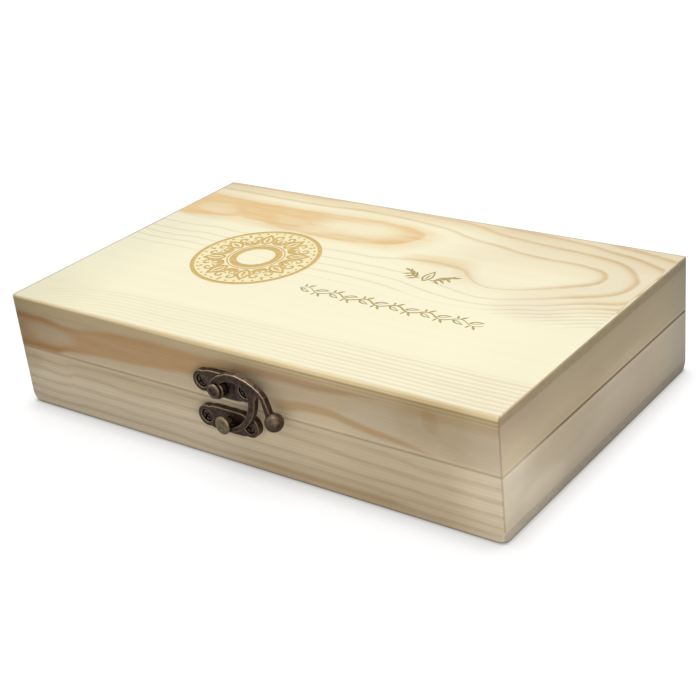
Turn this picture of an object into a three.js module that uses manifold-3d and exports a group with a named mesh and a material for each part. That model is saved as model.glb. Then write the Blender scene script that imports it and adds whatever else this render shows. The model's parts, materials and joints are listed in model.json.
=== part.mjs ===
// Coin display case: a flat pine box with a hinged lid, a foam tray of round wells and a swing-hook latch.
// Millimetres. X runs along the front, Y from front to back, Z up. The origin is the middle of the underside.
import * as THREE from 'three';
import { mergeVertices } from 'three/addons/utils/BufferGeometryUtils.js';
import Module from 'manifold-3d';

const wasm = await Module();
wasm.setup();

// Driving dimensions of the wooden box
const boxWidth = 240;
const boxDepth = 146.5;
const boxHeight = 51;
const seamHeight = 27.15;
const wallThickness = 8;
const panelThickness = 5;
const cornerRadius = 0.8;
const bottomCornerRadius = 4;
const bottomEdgeRadius = 1.2;
const topEdgeRadius = 2;

// Clearances that pieces share
const slipGap = 0.3;
const screwGap = 0.3;
const cutOverrun = 1;

// Foam lining
const wellDiameter = 38.5;
const leastWeb = 4;
const wellDepth = 15;
const trayFloorThickness = 1.5;
const padThickness = 8;

// Latch plates, cast with a round lobe at each screw
const plateThickness = 3;
const plateRound = 3;
const lobeRadius = 4.6;
const latchScrewSpacing = 21.5;
const plateBodyLength = 18;
const catchPlateHeight = 10.5;
const latchPlateHeight = 10.9;
const latchCentreX = -1;
const catchPlateBelowSeam = 6.75;
const latchPlateAboveSeam = 8.65;

// Mushroom post that the hook catches
const postX = 0.1;
const postBelowSeam = 6.05;
const postShankRadius = 1.6;
const postHeadRadius = 3.9;
const postHeadWidthShare = 0.88;
const postHeadThickness = 1.9;
const postDomeHeight = 0.5;

// Swing hook, measured from its pivot
const pivotX = -2.3;
const pivotAboveSeam = 7.85;
const hookThickness = 2.7;
const hookEdge = 0.45;
const hookReach = 28.1;
const eyeRadius = 3.9;
const clawRootWidth = 3.4;
const clawTipWidth = 1.7;
const ballRadius = 3.75;
const ballLift = 0.35;

// Pivot rivet
const rivetShankRadius = 1.7;
const rivetHeadRadius = 3.1;
const rivetHeadThickness = 1.3;

// Riveted tails behind both plates
const tailRadius = 2.4;
const tailThickness = 1;
const tenonRadius = 1.5;

// Countersunk latch screws
const latchScrewHeadRadius = 2.4;
const latchScrewHeadHeight = 1.2;
const latchScrewShankRadius = 1.1;
const latchScrewBite = 6;
const screwTipLength = 1.5;
const slotWidth = 0.6;
const slotDepth = 0.5;

// Butt hinges on the back
const hingeFromEnd = 45;
const leafWidth = 22;
const leafHeight = 13;
const leafThickness = 0.9;
const barrelRadius = 1.9;
const barrelBore = 1.05;
const middleKnuckleWidth = 8.6;
const hingePinRadius = 0.75;
const pinHeadRadius = 1.4;
const pinHeadThickness = 0.5;
const hingeScrewSpacing = 13;
const hingeScrewDrop = 8;
const hingeScrewHeadRadius = 1.9;
const hingeScrewHeadHeight = 0.8;
const hingeScrewShankRadius = 0.8;
const hingeScrewBite = 5;

// Facets of round shapes
const cornerSteps = 4;
const edgeSteps = 5;
const holeSides = 20;
const wellSides = 32;
const discSides = 28;
const screwSides = 16;
const ballSides = 24;
const ballRings = 16;
const clawSteps = 9;

const frontY = -boxDepth / 2;
const backY = boxDepth / 2;
const innerWidth = boxWidth - 2 * wallThickness;
const innerDepth = boxDepth - 2 * wallThickness;
const wellColumns = Math.floor(innerWidth / (wellDiameter + leastWeb));
const wellRows = Math.floor(innerDepth / (wellDiameter + leastWeb));
const trayFloorTop = panelThickness + trayFloorThickness;
const lidUnderside = boxHeight - panelThickness;
const hookBack = plateThickness + slipGap;
const hookFront = hookBack + hookThickness;

const pine = { top: '#efdcae', front: '#c2a273', side: '#b3a180', bottom: '#bfa67a' };
const finishes = {
  topPine: { color: pine.top, roughness: 0.6, metalness: 0 },
  frontPine: { color: pine.front, roughness: 0.65, metalness: 0 },
  sidePine: { color: pine.side, roughness: 0.65, metalness: 0 },
  bottomPine: { color: pine.bottom, roughness: 0.7, metalness: 0 },
  foam: { color: '#23211f', roughness: 0.95, metalness: 0 },
  bronze: { color: '#4a3d35', roughness: 0.45, metalness: 0.85 },
  wornBrass: { color: '#7b6a50', roughness: 0.4, metalness: 0.85 },
};

// Merges a closed surface's shared corners, leaves out its empty triangles and makes a solid of it
function toSolid(geometry) {
  const bare = geometry.clone();
  bare.deleteAttribute('normal');
  bare.deleteAttribute('uv');
  const merged = mergeVertices(bare);
  const corners = merged.index.array;
  const kept = [];
  for (let i = 0; i < corners.length; i += 3) {
    const [a, b, c] = [corners[i], corners[i + 1], corners[i + 2]];
    if (a !== b && b !== c && c !== a) kept.push(a, b, c);
  }
  const vertProperties = new Float32Array(merged.attributes.position.array);
  return new wasm.Manifold(new wasm.Mesh({ numProp: 3, vertProperties, triVerts: new Uint32Array(kept) }));
}

function toGeometry(solid) {
  const mesh = solid.getMesh();
  const geometry = new THREE.BufferGeometry();
  geometry.setAttribute('position', new THREE.BufferAttribute(mesh.vertProperties, 3));
  geometry.setIndex(new THREE.BufferAttribute(mesh.triVerts, 1));
  geometry.computeVertexNormals();
  return geometry;
}

function makePiece(name, solid, finish, x = 0, y = 0, z = 0) {
  const piece = new THREE.Mesh(toGeometry(solid), new THREE.MeshStandardMaterial(finish));
  piece.name = name;
  piece.position.set(x, y, z);
  return piece;
}

// A block given by its lowest and highest corners
function block(low, high) {
  const geometry = new THREE.BoxGeometry(high[0] - low[0], high[1] - low[1], high[2] - low[2]);
  geometry.translate((low[0] + high[0]) / 2, (low[1] + high[1]) / 2, (low[2] + high[2]) / 2);
  return toSolid(geometry);
}

// A cylinder along Y from startY to endY
function roundBar(x, z, radius, startY, endY, sides) {
  const geometry = new THREE.CylinderGeometry(radius, radius, endY - startY, sides);
  geometry.translate(x, (startY + endY) / 2, z);
  return toSolid(geometry);
}

// A cylinder along X from startX to endX
function barAlongX(y, z, radius, startX, endX, sides) {
  const geometry = new THREE.CylinderGeometry(radius, radius, endX - startX, sides);
  geometry.rotateZ(-Math.PI / 2);
  geometry.translate((startX + endX) / 2, y, z);
  return toSolid(geometry);
}

// A turned piece about Y, its profile given as [radius, y] from low y to high y
function turned(profile, sides) {
  return toSolid(new THREE.LatheGeometry(profile.map(([r, y]) => new THREE.Vector2(r, y)), sides));
}

// An upright outline in X and Z, thickened from y = 0 towards the front
function plateFromShape(shape, thickness, edge = 0) {
  const geometry = new THREE.ExtrudeGeometry(shape, {
    depth: thickness - 2 * edge,
    bevelEnabled: edge > 0,
    bevelThickness: edge,
    bevelSize: edge,
    bevelOffset: -edge,
    bevelSegments: 1,
    curveSegments: cornerSteps,
  });
  geometry.translate(0, 0, edge);
  geometry.rotateX(Math.PI / 2);
  return toSolid(geometry);
}

function roundedRectangle(width, height, radius, centreX = 0, centreZ = 0) {
  const [right, top] = [width / 2 - radius, height / 2 - radius];
  const shape = new THREE.Shape();
  shape.absarc(centreX + right, centreZ + top, radius, 0, Math.PI / 2);
  shape.absarc(centreX - right, centreZ + top, radius, Math.PI / 2, Math.PI);
  shape.absarc(centreX - right, centreZ - top, radius, Math.PI, 1.5 * Math.PI);
  shape.absarc(centreX + right, centreZ - top, radius, 1.5 * Math.PI, 2 * Math.PI);
  return shape;
}

// Panels: level outlines of the same number of points, joined ring by ring
function panelRing(inset, z, corner = cornerRadius) {
  const ring = [];
  const [right, back] = [boxWidth / 2 - inset - corner, boxDepth / 2 - inset - corner];
  const centres = [[right, back], [-right, back], [-right, -back], [right, -back]];
  centres.forEach(([x, y], quarter) => {
    for (let step = 0; step <= cornerSteps; step++) {
      const angle = (Math.PI / 2) * (quarter + step / cornerSteps);
      ring.push([x + corner * Math.cos(angle), y + corner * Math.sin(angle), z]);
    }
  });
  return ring;
}

function solidFromRings(rings) {
  const count = rings[0].length;
  const faces = [];
  const cap = THREE.ShapeUtils.triangulateShape(rings[0].map(([x, y]) => new THREE.Vector2(x, y)), []);
  const last = (rings.length - 1) * count;
  for (const [a, b, c] of cap) faces.push(c, b, a, last + a, last + b, last + c);
  for (let level = 0; level < rings.length - 1; level++) {
    for (let i = 0; i < count; i++) {
      const low = level * count + i;
      const next = level * count + ((i + 1) % count);
      faces.push(low, next, next + count, low, next + count, low + count);
    }
  }
  const geometry = new THREE.BufferGeometry();
  geometry.setAttribute('position', new THREE.Float32BufferAttribute(rings.flat(2), 3));
  geometry.setIndex(faces);
  return toSolid(geometry);
}

// The bottom's four corners are rounded off more and more towards the underside
function bottomPanel() {
  const rings = [];
  const cornerAt = (z) => cornerRadius + (bottomCornerRadius - cornerRadius) * (1 - z / panelThickness);
  for (let step = 0; step <= edgeSteps; step++) {
    const angle = (Math.PI / 2) * (step / edgeSteps);
    const z = bottomEdgeRadius * (1 - Math.cos(angle));
    rings.push(panelRing(bottomEdgeRadius * (1 - Math.sin(angle)), z, cornerAt(z)));
  }
  rings.push(panelRing(0, panelThickness));
  return solidFromRings(rings);
}

function topPanel() {
  const rings = [panelRing(0, lidUnderside)];
  for (let step = 0; step <= edgeSteps; step++) {
    const angle = (Math.PI / 2) * (step / edgeSteps);
    const z = boxHeight - topEdgeRadius * (1 - Math.sin(angle));
    rings.push(panelRing(topEdgeRadius * (1 - Math.cos(angle)), z));
  }
  return solidFromRings(rings);
}

// A wall seen from above, lying along the front: mitred ends and eased outer corners
function wallPlan(length, depth) {
  const [halfLength, halfDepth] = [length / 2, depth / 2];
  const eased = [];
  for (let step = 0; step <= cornerSteps / 2; step++) {
    const angle = (Math.PI / 4) * (step / (cornerSteps / 2));
    eased.push([cornerRadius * (1 - Math.sin(angle)), cornerRadius * (1 - Math.cos(angle))]);
  }
  const rightCorner = eased.map(([along, inward]) => [halfLength - along, -halfDepth + inward]);
  const leftCorner = eased.map(([along, inward]) => [-halfLength + along, -halfDepth + inward]).reverse();
  const inner = [
    [halfLength - wallThickness, -halfDepth + wallThickness],
    [-halfLength + wallThickness, -halfDepth + wallThickness],
  ];
  return new THREE.Shape([...rightCorner, ...inner, ...leftCorner].map(([x, y]) => new THREE.Vector2(x, y)));
}

function wall(length, depth, quarterTurns, lowZ, highZ) {
  const options = { depth: highZ - lowZ, bevelEnabled: false };
  const geometry = new THREE.ExtrudeGeometry(wallPlan(length, depth), options);
  geometry.rotateZ((Math.PI / 2) * quarterTurns);
  geometry.translate(0, 0, lowZ);
  return toSolid(geometry);
}

// Places on the front and back that screws and rivets go into
const catchPlateZ = seamHeight - catchPlateBelowSeam;
const latchPlateZ = seamHeight + latchPlateAboveSeam;
const postZ = seamHeight - postBelowSeam;
const pivotZ = seamHeight + pivotAboveSeam;
const latchScrewXs = [latchCentreX - latchScrewSpacing / 2, latchCentreX + latchScrewSpacing / 2];
const baseHalf = {
  plateZ: catchPlateZ, rivetX: postX, rivetZ: postZ, hingeScrewZ: seamHeight - hingeScrewDrop,
};
const lidHalf = {
  plateZ: latchPlateZ, rivetX: pivotX, rivetZ: pivotZ, hingeScrewZ: seamHeight + hingeScrewDrop,
};
const hingeXs = [hingeFromEnd - boxWidth / 2, boxWidth / 2 - hingeFromEnd];

function drillFront(solid, x, z, radius, depth) {
  return solid.subtract(roundBar(x, z, radius, frontY - cutOverrun, frontY + depth, holeSides));
}

// Every board is drilled for all the screws and rivets of its half, and only those in its way cut it
function drillBoard(solid, half) {
  let drilled = solid;
  for (const x of latchScrewXs) {
    const radius = latchScrewShankRadius + screwGap;
    drilled = drillFront(drilled, x, half.plateZ, radius, latchScrewBite + screwGap);
  }
  drilled = drillFront(drilled, half.rivetX, half.rivetZ, tailRadius + screwGap, tailThickness + slipGap);
  for (const x of hingeXs) {
    for (const side of [-1, 1]) {
      const screwX = x + (side * hingeScrewSpacing) / 2;
      const [startY, endY] = [backY - hingeScrewBite - screwGap, backY + cutOverrun];
      const radius = hingeScrewShankRadius + screwGap;
      drilled = drilled.subtract(roundBar(screwX, half.hingeScrewZ, radius, startY, endY, holeSides));
    }
  }
  return drilled;
}

function wallSet(prefix, lowZ, highZ, half) {
  const board = (length, depth, turns) => drillBoard(wall(length, depth, turns, lowZ, highZ), half);
  return [
    makePiece(`${prefix}_front_wall`, board(boxWidth, boxDepth, 0), finishes.frontPine),
    makePiece(`${prefix}_back_wall`, board(boxWidth, boxDepth, 2), finishes.frontPine),
    makePiece(`${prefix}_right_wall`, board(boxDepth, boxWidth, 1), finishes.sidePine),
    makePiece(`${prefix}_left_wall`, board(boxDepth, boxWidth, 3), finishes.sidePine),
  ];
}

// Foam tray with its wells, the sheet that floors them and the pad in the lid
function liningBlock(lowZ, highZ) {
  const [x, y] = [innerWidth / 2 - slipGap, innerDepth / 2 - slipGap];
  return block([-x, -y, lowZ], [x, y, highZ]);
}

function coinTray() {
  let tray = liningBlock(trayFloorTop, trayFloorTop + wellDepth);
  const [pitchX, pitchY] = [innerWidth / wellColumns, innerDepth / wellRows];
  for (let column = 0; column < wellColumns; column++) {
    for (let row = 0; row < wellRows; row++) {
      const radius = wellDiameter / 2;
      const well = new THREE.CylinderGeometry(radius, radius, wellDepth + 2 * cutOverrun, wellSides);
      well.rotateX(Math.PI / 2);
      well.translate(
        (column - (wellColumns - 1) / 2) * pitchX,
        (row - (wellRows - 1) / 2) * pitchY,
        trayFloorTop + wellDepth / 2,
      );
      tray = tray.subtract(toSolid(well));
    }
  }
  return tray;
}

// A plate with a body between two lobes, bored for its screws and its rivet
function latchPlateSolid(bodyHeight, rivetX, rivetRise) {
  let plate = plateFromShape(roundedRectangle(plateBodyLength, bodyHeight, plateRound), plateThickness);
  const screwXs = [-latchScrewSpacing / 2, latchScrewSpacing / 2];
  for (const x of screwXs) plate = plate.add(roundBar(x, 0, lobeRadius, -plateThickness, 0, discSides));
  const faceY = -plateThickness - cutOverrun;
  const seatY = -plateThickness + latchScrewHeadHeight;
  for (const x of screwXs) {
    plate = plate.subtract(roundBar(x, 0, latchScrewShankRadius + screwGap, faceY, cutOverrun, holeSides));
    plate = plate.subtract(roundBar(x, 0, latchScrewHeadRadius + screwGap, faceY, seatY, holeSides));
  }
  return plate.subtract(roundBar(rivetX, rivetRise, tenonRadius + screwGap, faceY, cutOverrun, holeSides));
}

// Cross recess cut into a head whose face is at faceY, looking towards the front
function crossRecess(solid, headRadius, faceY) {
  const arm = 0.62 * headRadius;
  const half = slotWidth / 2;
  const [low, high] = [faceY - cutOverrun, faceY + slotDepth];
  return solid
    .subtract(block([-arm, low, -half], [arm, high, half]))
    .subtract(block([-half, low, -arm], [half, high, arm]));
}

// The seat of the head is at y = 0 and the shank runs to +Y
function latchScrew() {
  const length = plateThickness - latchScrewHeadHeight + latchScrewBite;
  const profile = [
    [0, -latchScrewHeadHeight],
    [0.85 * latchScrewHeadRadius, -latchScrewHeadHeight],
    [latchScrewHeadRadius, -0.7 * latchScrewHeadHeight],
    [latchScrewHeadRadius, 0],
    [latchScrewShankRadius, 0],
    [latchScrewShankRadius, length - screwTipLength],
    [0, length],
  ];
  return crossRecess(turned(profile, screwSides), latchScrewHeadRadius, -latchScrewHeadHeight);
}

function hingeScrew() {
  const length = leafThickness + hingeScrewBite;
  const profile = [
    [0, -hingeScrewHeadHeight],
    [0.6 * hingeScrewHeadRadius, -0.9 * hingeScrewHeadHeight],
    [0.9 * hingeScrewHeadRadius, -0.5 * hingeScrewHeadHeight],
    [hingeScrewHeadRadius, 0],
    [hingeScrewShankRadius, 0],
    [hingeScrewShankRadius, length - screwTipLength],
    [0, length],
  ];
  return crossRecess(turned(profile, screwSides), hingeScrewHeadRadius, -0.9 * hingeScrewHeadHeight);
}

// Post and pivot rivet: y = 0 is the wood's face, and each tail is spread behind its plate.
// The post's head is an upright oval.
function catchPost() {
  const headBack = hookFront + slipGap + slipGap;
  const headFront = headBack + postHeadThickness;
  const headProfile = [
    [0, -headFront],
    [0.55 * postHeadRadius, -headFront + 0.3 * postDomeHeight],
    [0.88 * postHeadRadius, -headFront + postDomeHeight],
    [postHeadRadius, -headFront + 2 * postDomeHeight],
    [postHeadRadius, -headBack - 0.5 * postDomeHeight],
    [0.93 * postHeadRadius, -headBack],
    [0, -headBack],
  ];
  const stemProfile = [
    [0, -headFront + 2 * postDomeHeight],
    [postShankRadius, -headFront + 2 * postDomeHeight],
    [postShankRadius, -plateThickness],
    [tenonRadius, -plateThickness],
    [tenonRadius, 0],
    [tailRadius, 0],
    [tailRadius, tailThickness],
    [0, tailThickness],
  ];
  const head = turned(headProfile, discSides).scale([postHeadWidthShare, 1, 1]);
  return head.add(turned(stemProfile, discSides));
}

function hookRivet() {
  const headBack = hookFront + slipGap;
  const headFront = headBack + rivetHeadThickness;
  const profile = [
    [0, -headFront],
    [0.6 * rivetHeadRadius, -headFront + 0.1 * rivetHeadThickness],
    [0.9 * rivetHeadRadius, -headFront + 0.4 * rivetHeadThickness],
    [rivetHeadRadius, -headBack - 0.3 * rivetHeadThickness],
    [rivetHeadRadius, -headBack],
    [rivetShankRadius, -headBack],
    [rivetShankRadius, -plateThickness],
    [tenonRadius, -plateThickness],
    [tenonRadius, 0],
    [tailRadius, 0],
    [tailRadius, tailThickness],
    [0, tailThickness],
  ];
  return turned(profile, discSides);
}

// Swing hook. Its outer edge and horn are shares of the reach from the pivot to the ball.
const outerEdgeShares = [
  [-0.115, 0.054], [-0.072, 0.144], [0.04, 0.23], [0.125, 0.276], [0.216, 0.302], [0.3, 0.314],
  [0.378, 0.309], [0.465, 0.294], [0.547, 0.272], [0.673, 0.219], [0.76, 0.168], [0.827, 0.113],
  [0.872, 0.03], [0.912, -0.1], [0.95, -0.187],
];
const hornInnerShares = [[0.86, -0.2], [0.824, -0.08], [0.802, 0.02], [0.775, 0.07], [0.74, 0.077]];
const ballShares = [0.964, -0.27];
// The window's upper edge, as shares of the claw's inner radius
const windowEdgeShares = [
  [0.975, 0.122], [0.91, 0.21], [0.83, 0.275], [0.735, 0.318],
  [0.63, 0.336], [0.5, 0.334], [0.34, 0.31], [0.16, 0.21],
];

function swingHook() {
  const [postDx, postDz] = [postX - pivotX, postZ - pivotZ];
  const clawRadius = Math.hypot(postDx, postDz) + postShankRadius + slipGap;
  const tipAngle = Math.atan2(postDz, postDx);
  const clawPoint = (share, width) => {
    const angle = tipAngle * share;
    return [(clawRadius + width) * Math.cos(angle), (clawRadius + width) * Math.sin(angle)];
  };
  const clawOuter = [];
  const clawInner = [];
  for (let step = 0; step <= clawSteps; step++) {
    const share = step / clawSteps;
    clawOuter.push(clawPoint(share, clawRootWidth + (clawTipWidth - clawRootWidth) * share));
    clawInner.unshift(clawPoint(share, 0));
  }
  const outline = [
    [0, 0],
    ...windowEdgeShares.map(([x, z]) => [x * clawRadius, z * clawRadius]).reverse(),
    ...clawInner.reverse(),
    ...clawOuter.reverse(),
    ...hornInnerShares.map(([x, z]) => [x * hookReach, z * hookReach]).reverse(),
    ...outerEdgeShares.map(([x, z]) => [x * hookReach, z * hookReach]).reverse(),
  ];
  const shape = new THREE.Shape(outline.map(([x, z]) => new THREE.Vector2(x, z)));
  const eye = new THREE.Shape().absarc(0, 0, eyeRadius, 0, 2 * Math.PI);
  const ball = new THREE.SphereGeometry(ballRadius, ballSides, ballRings);
  ball.translate(ballShares[0] * hookReach, -hookThickness / 2 - ballLift, ballShares[1] * hookReach);
  return plateFromShape(shape, hookThickness, hookEdge)
    .add(plateFromShape(eye, hookThickness, hookEdge))
    .add(toSolid(ball))
    .subtract(roundBar(0, 0, rivetShankRadius + slipGap, -hookThickness - cutOverrun, cutOverrun, holeSides));
}

// Hinge leaf on the back. The rise is -1 for the base's leaf and 1 for the lid's.
// Each knuckle is given as [startX, endX].
const barrelY = barrelRadius + slipGap;

function hingeLeaf(rise, knuckles) {
  const half = leafWidth / 2;
  const nearZ = rise * (barrelRadius + slipGap + slipGap);
  const farZ = rise * leafHeight;
  const slab = (startX, endX, z1, z2) =>
    block([startX, 0, Math.min(z1, z2)], [endX, leafThickness, Math.max(z1, z2)]);
  let leaf = slab(-half, half, nearZ, farZ);
  for (const [startX, endX] of knuckles) {
    leaf = leaf.add(slab(startX, endX, 0, rise * leafHeight / 2));
    leaf = leaf.add(barAlongX(barrelY, 0, barrelRadius, startX, endX, holeSides));
  }
  leaf = leaf.subtract(barAlongX(barrelY, 0, barrelBore, -half - cutOverrun, half + cutOverrun, holeSides));
  for (const side of [-1, 1]) {
    const x = (side * hingeScrewSpacing) / 2;
    const radius = hingeScrewShankRadius + screwGap;
    const z = rise * hingeScrewDrop;
    leaf = leaf.subtract(roundBar(x, z, radius, -cutOverrun, leafThickness + cutOverrun, holeSides));
  }
  return leaf;
}

function hingePin() {
  const half = leafWidth / 2;
  const head = (startX, endX) => barAlongX(0, 0, pinHeadRadius, startX, endX, holeSides);
  return barAlongX(0, 0, hingePinRadius, -half - pinHeadThickness / 2, half + pinHeadThickness / 2, holeSides)
    .add(head(-half - pinHeadThickness, -half))
    .add(head(half, half + pinHeadThickness));
}

// Hinges, one set of leaf, screws and pin for each side
function hingePieces(body) {
  const rise = body === 'lid' ? 1 : -1;
  const middle = middleKnuckleWidth / 2;
  const knuckles = body === 'lid'
    ? [[-middle, middle]]
    : [[-leafWidth / 2, -middle - slipGap], [middle + slipGap, leafWidth / 2]];
  const pieces = [];
  for (const x of hingeXs) {
    const side = x < 0 ? 'left' : 'right';
    const leaf = hingeLeaf(rise, knuckles);
    pieces.push(makePiece(`${side}_hinge_${body}_leaf`, leaf, finishes.bronze, x, backY, seamHeight));
    for (const end of [-1, 1]) {
      const name = `${side}_hinge_${body}_screw_${end < 0 ? 'a' : 'b'}`;
      const screwX = x + (end * hingeScrewSpacing) / 2;
      const screwZ = seamHeight + rise * hingeScrewDrop;
      const screw = makePiece(name, hingeScrew(), finishes.bronze, screwX, backY + leafThickness, screwZ);
      screw.rotation.z = Math.PI;
      pieces.push(screw);
    }
    if (body === 'base') {
      const pinY = backY + barrelY;
      pieces.push(makePiece(`${side}_hinge_pin`, hingePin(), finishes.bronze, x, pinY, seamHeight));
    }
  }
  return pieces;
}

function screwPair(prefix, plateZ) {
  const seatY = frontY - plateThickness + latchScrewHeadHeight;
  return latchScrewXs.map((x, i) =>
    makePiece(`${prefix}_screw_${i ? 'right' : 'left'}`, latchScrew(), finishes.bronze, x, seatY, plateZ));
}

function baseGroup() {
  const base = new THREE.Group();
  const plate = latchPlateSolid(catchPlateHeight, postX - latchCentreX, postZ - catchPlateZ);
  base.add(
    makePiece('bottom_panel', drillBoard(bottomPanel(), baseHalf), finishes.bottomPine),
    ...wallSet('base', panelThickness, seamHeight, baseHalf),
    makePiece('tray_floor', liningBlock(panelThickness, trayFloorTop), finishes.foam),
    makePiece('coin_tray', coinTray(), finishes.foam),
    makePiece('catch_plate', plate, finishes.bronze, latchCentreX, frontY, catchPlateZ),
    makePiece('catch_post', catchPost(), finishes.wornBrass, postX, frontY, postZ),
    ...screwPair('catch', catchPlateZ),
    ...hingePieces('base'),
  );
  return base;
}

function lidGroup() {
  const lid = new THREE.Group();
  const plate = latchPlateSolid(latchPlateHeight, pivotX - latchCentreX, pivotZ - latchPlateZ);
  lid.add(
    makePiece('top_panel', drillBoard(topPanel(), lidHalf), finishes.topPine),
    ...wallSet('lid', seamHeight, lidUnderside, lidHalf),
    makePiece('lid_pad', liningBlock(lidUnderside - padThickness, lidUnderside), finishes.foam),
    makePiece('latch_plate', plate, finishes.bronze, latchCentreX, frontY, latchPlateZ),
    makePiece('hook_rivet', hookRivet(), finishes.bronze, pivotX, frontY, pivotZ),
    ...screwPair('latch', latchPlateZ),
    ...hingePieces('lid'),
  );
  return lid;
}

function hookGroup() {
  const hook = new THREE.Group();
  hook.add(makePiece('latch_hook', swingHook(), finishes.bronze, pivotX, frontY - hookBack, pivotZ));
  return hook;
}

const coinCase = new THREE.Group();
coinCase.add(baseGroup(), lidGroup(), hookGroup());

export default coinCase;
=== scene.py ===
# Coin display case: a flat pine box with an ornamented lid, a swing-hook latch and a foam tray of wells.
# Metres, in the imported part's frame: X along the front, Y from front to back, Z up from the underside.
# The wood's own places are in millimetres from the left end, the back edge or the lid's top.
import json
import math

import bmesh
import bpy
import numpy as np
from bpy.props import FloatProperty, FloatVectorProperty, PointerProperty
from mathutils import Matrix, Vector
from mathutils.geometry import delaunay_2d_cdt


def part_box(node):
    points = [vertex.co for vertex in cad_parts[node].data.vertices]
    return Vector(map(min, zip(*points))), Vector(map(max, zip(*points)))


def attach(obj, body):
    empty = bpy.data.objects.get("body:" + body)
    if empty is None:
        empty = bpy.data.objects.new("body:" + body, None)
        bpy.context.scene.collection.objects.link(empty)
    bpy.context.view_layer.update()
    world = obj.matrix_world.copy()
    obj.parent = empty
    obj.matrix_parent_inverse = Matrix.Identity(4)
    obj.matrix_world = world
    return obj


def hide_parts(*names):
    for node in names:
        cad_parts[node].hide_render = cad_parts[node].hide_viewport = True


bl_info = {
    "name": "Coin Display Case",
    "version": (1, 0, 0),
    "blender": (4, 5, 0),
    "location": "View3D > Sidebar > Coin Case",
    "description": "Dresses a hinged pine coin case with its wood, engraving, lining and latch",
    "category": "Object",
}

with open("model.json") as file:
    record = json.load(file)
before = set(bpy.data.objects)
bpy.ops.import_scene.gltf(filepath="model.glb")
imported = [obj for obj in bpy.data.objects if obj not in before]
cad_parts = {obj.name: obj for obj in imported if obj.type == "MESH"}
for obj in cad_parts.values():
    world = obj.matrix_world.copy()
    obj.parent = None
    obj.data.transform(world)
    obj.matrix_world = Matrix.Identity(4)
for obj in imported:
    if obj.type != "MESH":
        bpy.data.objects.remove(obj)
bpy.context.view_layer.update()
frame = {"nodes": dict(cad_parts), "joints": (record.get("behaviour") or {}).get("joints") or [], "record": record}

MM = 0.001
PHOTO_SIDE = 700
ORIGIN = (0, 0, 0)

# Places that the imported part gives
TOP_LOW, TOP_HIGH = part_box("top_panel")
BOTTOM_LOW, BOTTOM_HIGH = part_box("bottom_panel")
SEAM_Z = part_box("base_front_wall")[1][2]
LEFT_X, RIGHT_X = BOTTOM_LOW[0], BOTTOM_HIGH[0]
FRONT_Y, BACK_Y = BOTTOM_LOW[1], BOTTOM_HIGH[1]
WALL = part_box("base_right_wall")[1][0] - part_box("base_right_wall")[0][0]
BODY_NODES = frame["record"]["behaviour"]["bodies"]
PIVOTS = {joint["name"]: joint["pos_m"] for joint in frame["joints"]}


# Settings

def in_mm(name, description, millimetres):
    return FloatProperty(name=name, description=description, default=millimetres * MM, unit="LENGTH")


def in_degrees(name, description, degrees):
    return FloatProperty(name=name, description=description, default=math.radians(degrees), subtype="ANGLE")


def number(name, description, value, **kind):
    return FloatProperty(name=name, description=description, default=value, **kind)


def paint(name, description, *colour):
    return FloatVectorProperty(name=name, description=description, default=colour, size=3, subtype="COLOR")


class CaseWoodSettings(bpy.types.PropertyGroup):
    corner: in_mm("Corner radius", "Radius of the upright corners", 0.8)
    front_edge: in_mm("Front edge radius", "Radius along the lid's upper front edge, at its right end", 2.2)
    front_edge_left: in_mm("Front edge radius, left", "The same radius at the left end", 1.2)
    back_edge: in_mm("Back edge radius", "Radius along the lid's upper back edge", 0.9)
    end_edge: in_mm("End edge radius", "Radius along the lid's two upper end edges", 0.5)
    bottom_front: in_mm("Bottom front edge", "Radius along the lower front edge", 0.6)
    bottom_back: in_mm("Bottom back edge", "Radius along the lower back edge", 1.2)
    bottom_end: in_mm("Bottom end edges", "Radius along the two lower end edges", 0.8)
    bottom_corner: in_mm("Bottom corners", "Radius that the upright corners open out to at the underside",
                         4.0)
    seam_ease: in_mm("Seam easing", "Radius of the edges that meet at the seam", 0.35)
    top_colour: paint("Lid colour", "Pale earlywood of the lid's top", 0.877, 0.822, 0.595)
    gold_colour: paint("Gold streak", "Golden heart streaks of the lid's top", 0.715, 0.488, 0.218)
    front_colour: paint("Front colour", "Earlywood of the front and back boards", 0.785, 0.642, 0.430)
    side_colour: paint("Side colour", "Wood of the two short sides", 0.82, 0.71, 0.54)


class CaseOrnamentSettings(bpy.types.PropertyGroup):
    depth: in_mm("Depth", "Depth of the burnt grooves", 0.15)
    medallion_x: in_mm("Medallion X", "Centre of the round ornament along the front", -46.3)
    medallion_y: in_mm("Medallion Y", "Centre of the round ornament across the lid", 1.5)
    medallion_radius: in_mm("Medallion radius", "Outer radius of the round ornament", 28.8)
    border_x: in_mm("Border X", "Centre of the running leaf border", 35.6)
    border_y: in_mm("Border Y", "Centre of the running leaf border across the lid", -16.5)
    border_length: in_mm("Border length", "Length of the running leaf border", 88)
    sprig_x: in_mm("Sprig X", "Centre of the leaf sprig", 35)
    sprig_y: in_mm("Sprig Y", "Centre of the leaf sprig across the lid", 13.8)
    sprig_width: in_mm("Sprig width", "Width of the leaf sprig", 26)
    burn_colour: paint("Burnt wood", "Colour of the groove floors", 0.715, 0.50, 0.19)
    stem_colour: paint("Burnt lines", "Groove floors of the border and the sprig", 0.50, 0.41, 0.15)


class CaseMetalSettings(bpy.types.PropertyGroup):
    bronze: paint("Antique bronze", "Dark finish of the latch and hinges", 0.060, 0.045, 0.035)
    # Colour of the rubbed edges, also used for the painted highlight on upward-facing edges
    wear_and_highlight: paint("Worn edge", "Metal that shows at the rubbed edges", 0.66, 0.54, 0.31)
    brass: paint("Post brass", "Lighter finish of the catch post", 0.20, 0.157, 0.098)
    voxel: in_mm("Casting detail", "Grid that the cast pieces are made on", 0.17)


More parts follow.
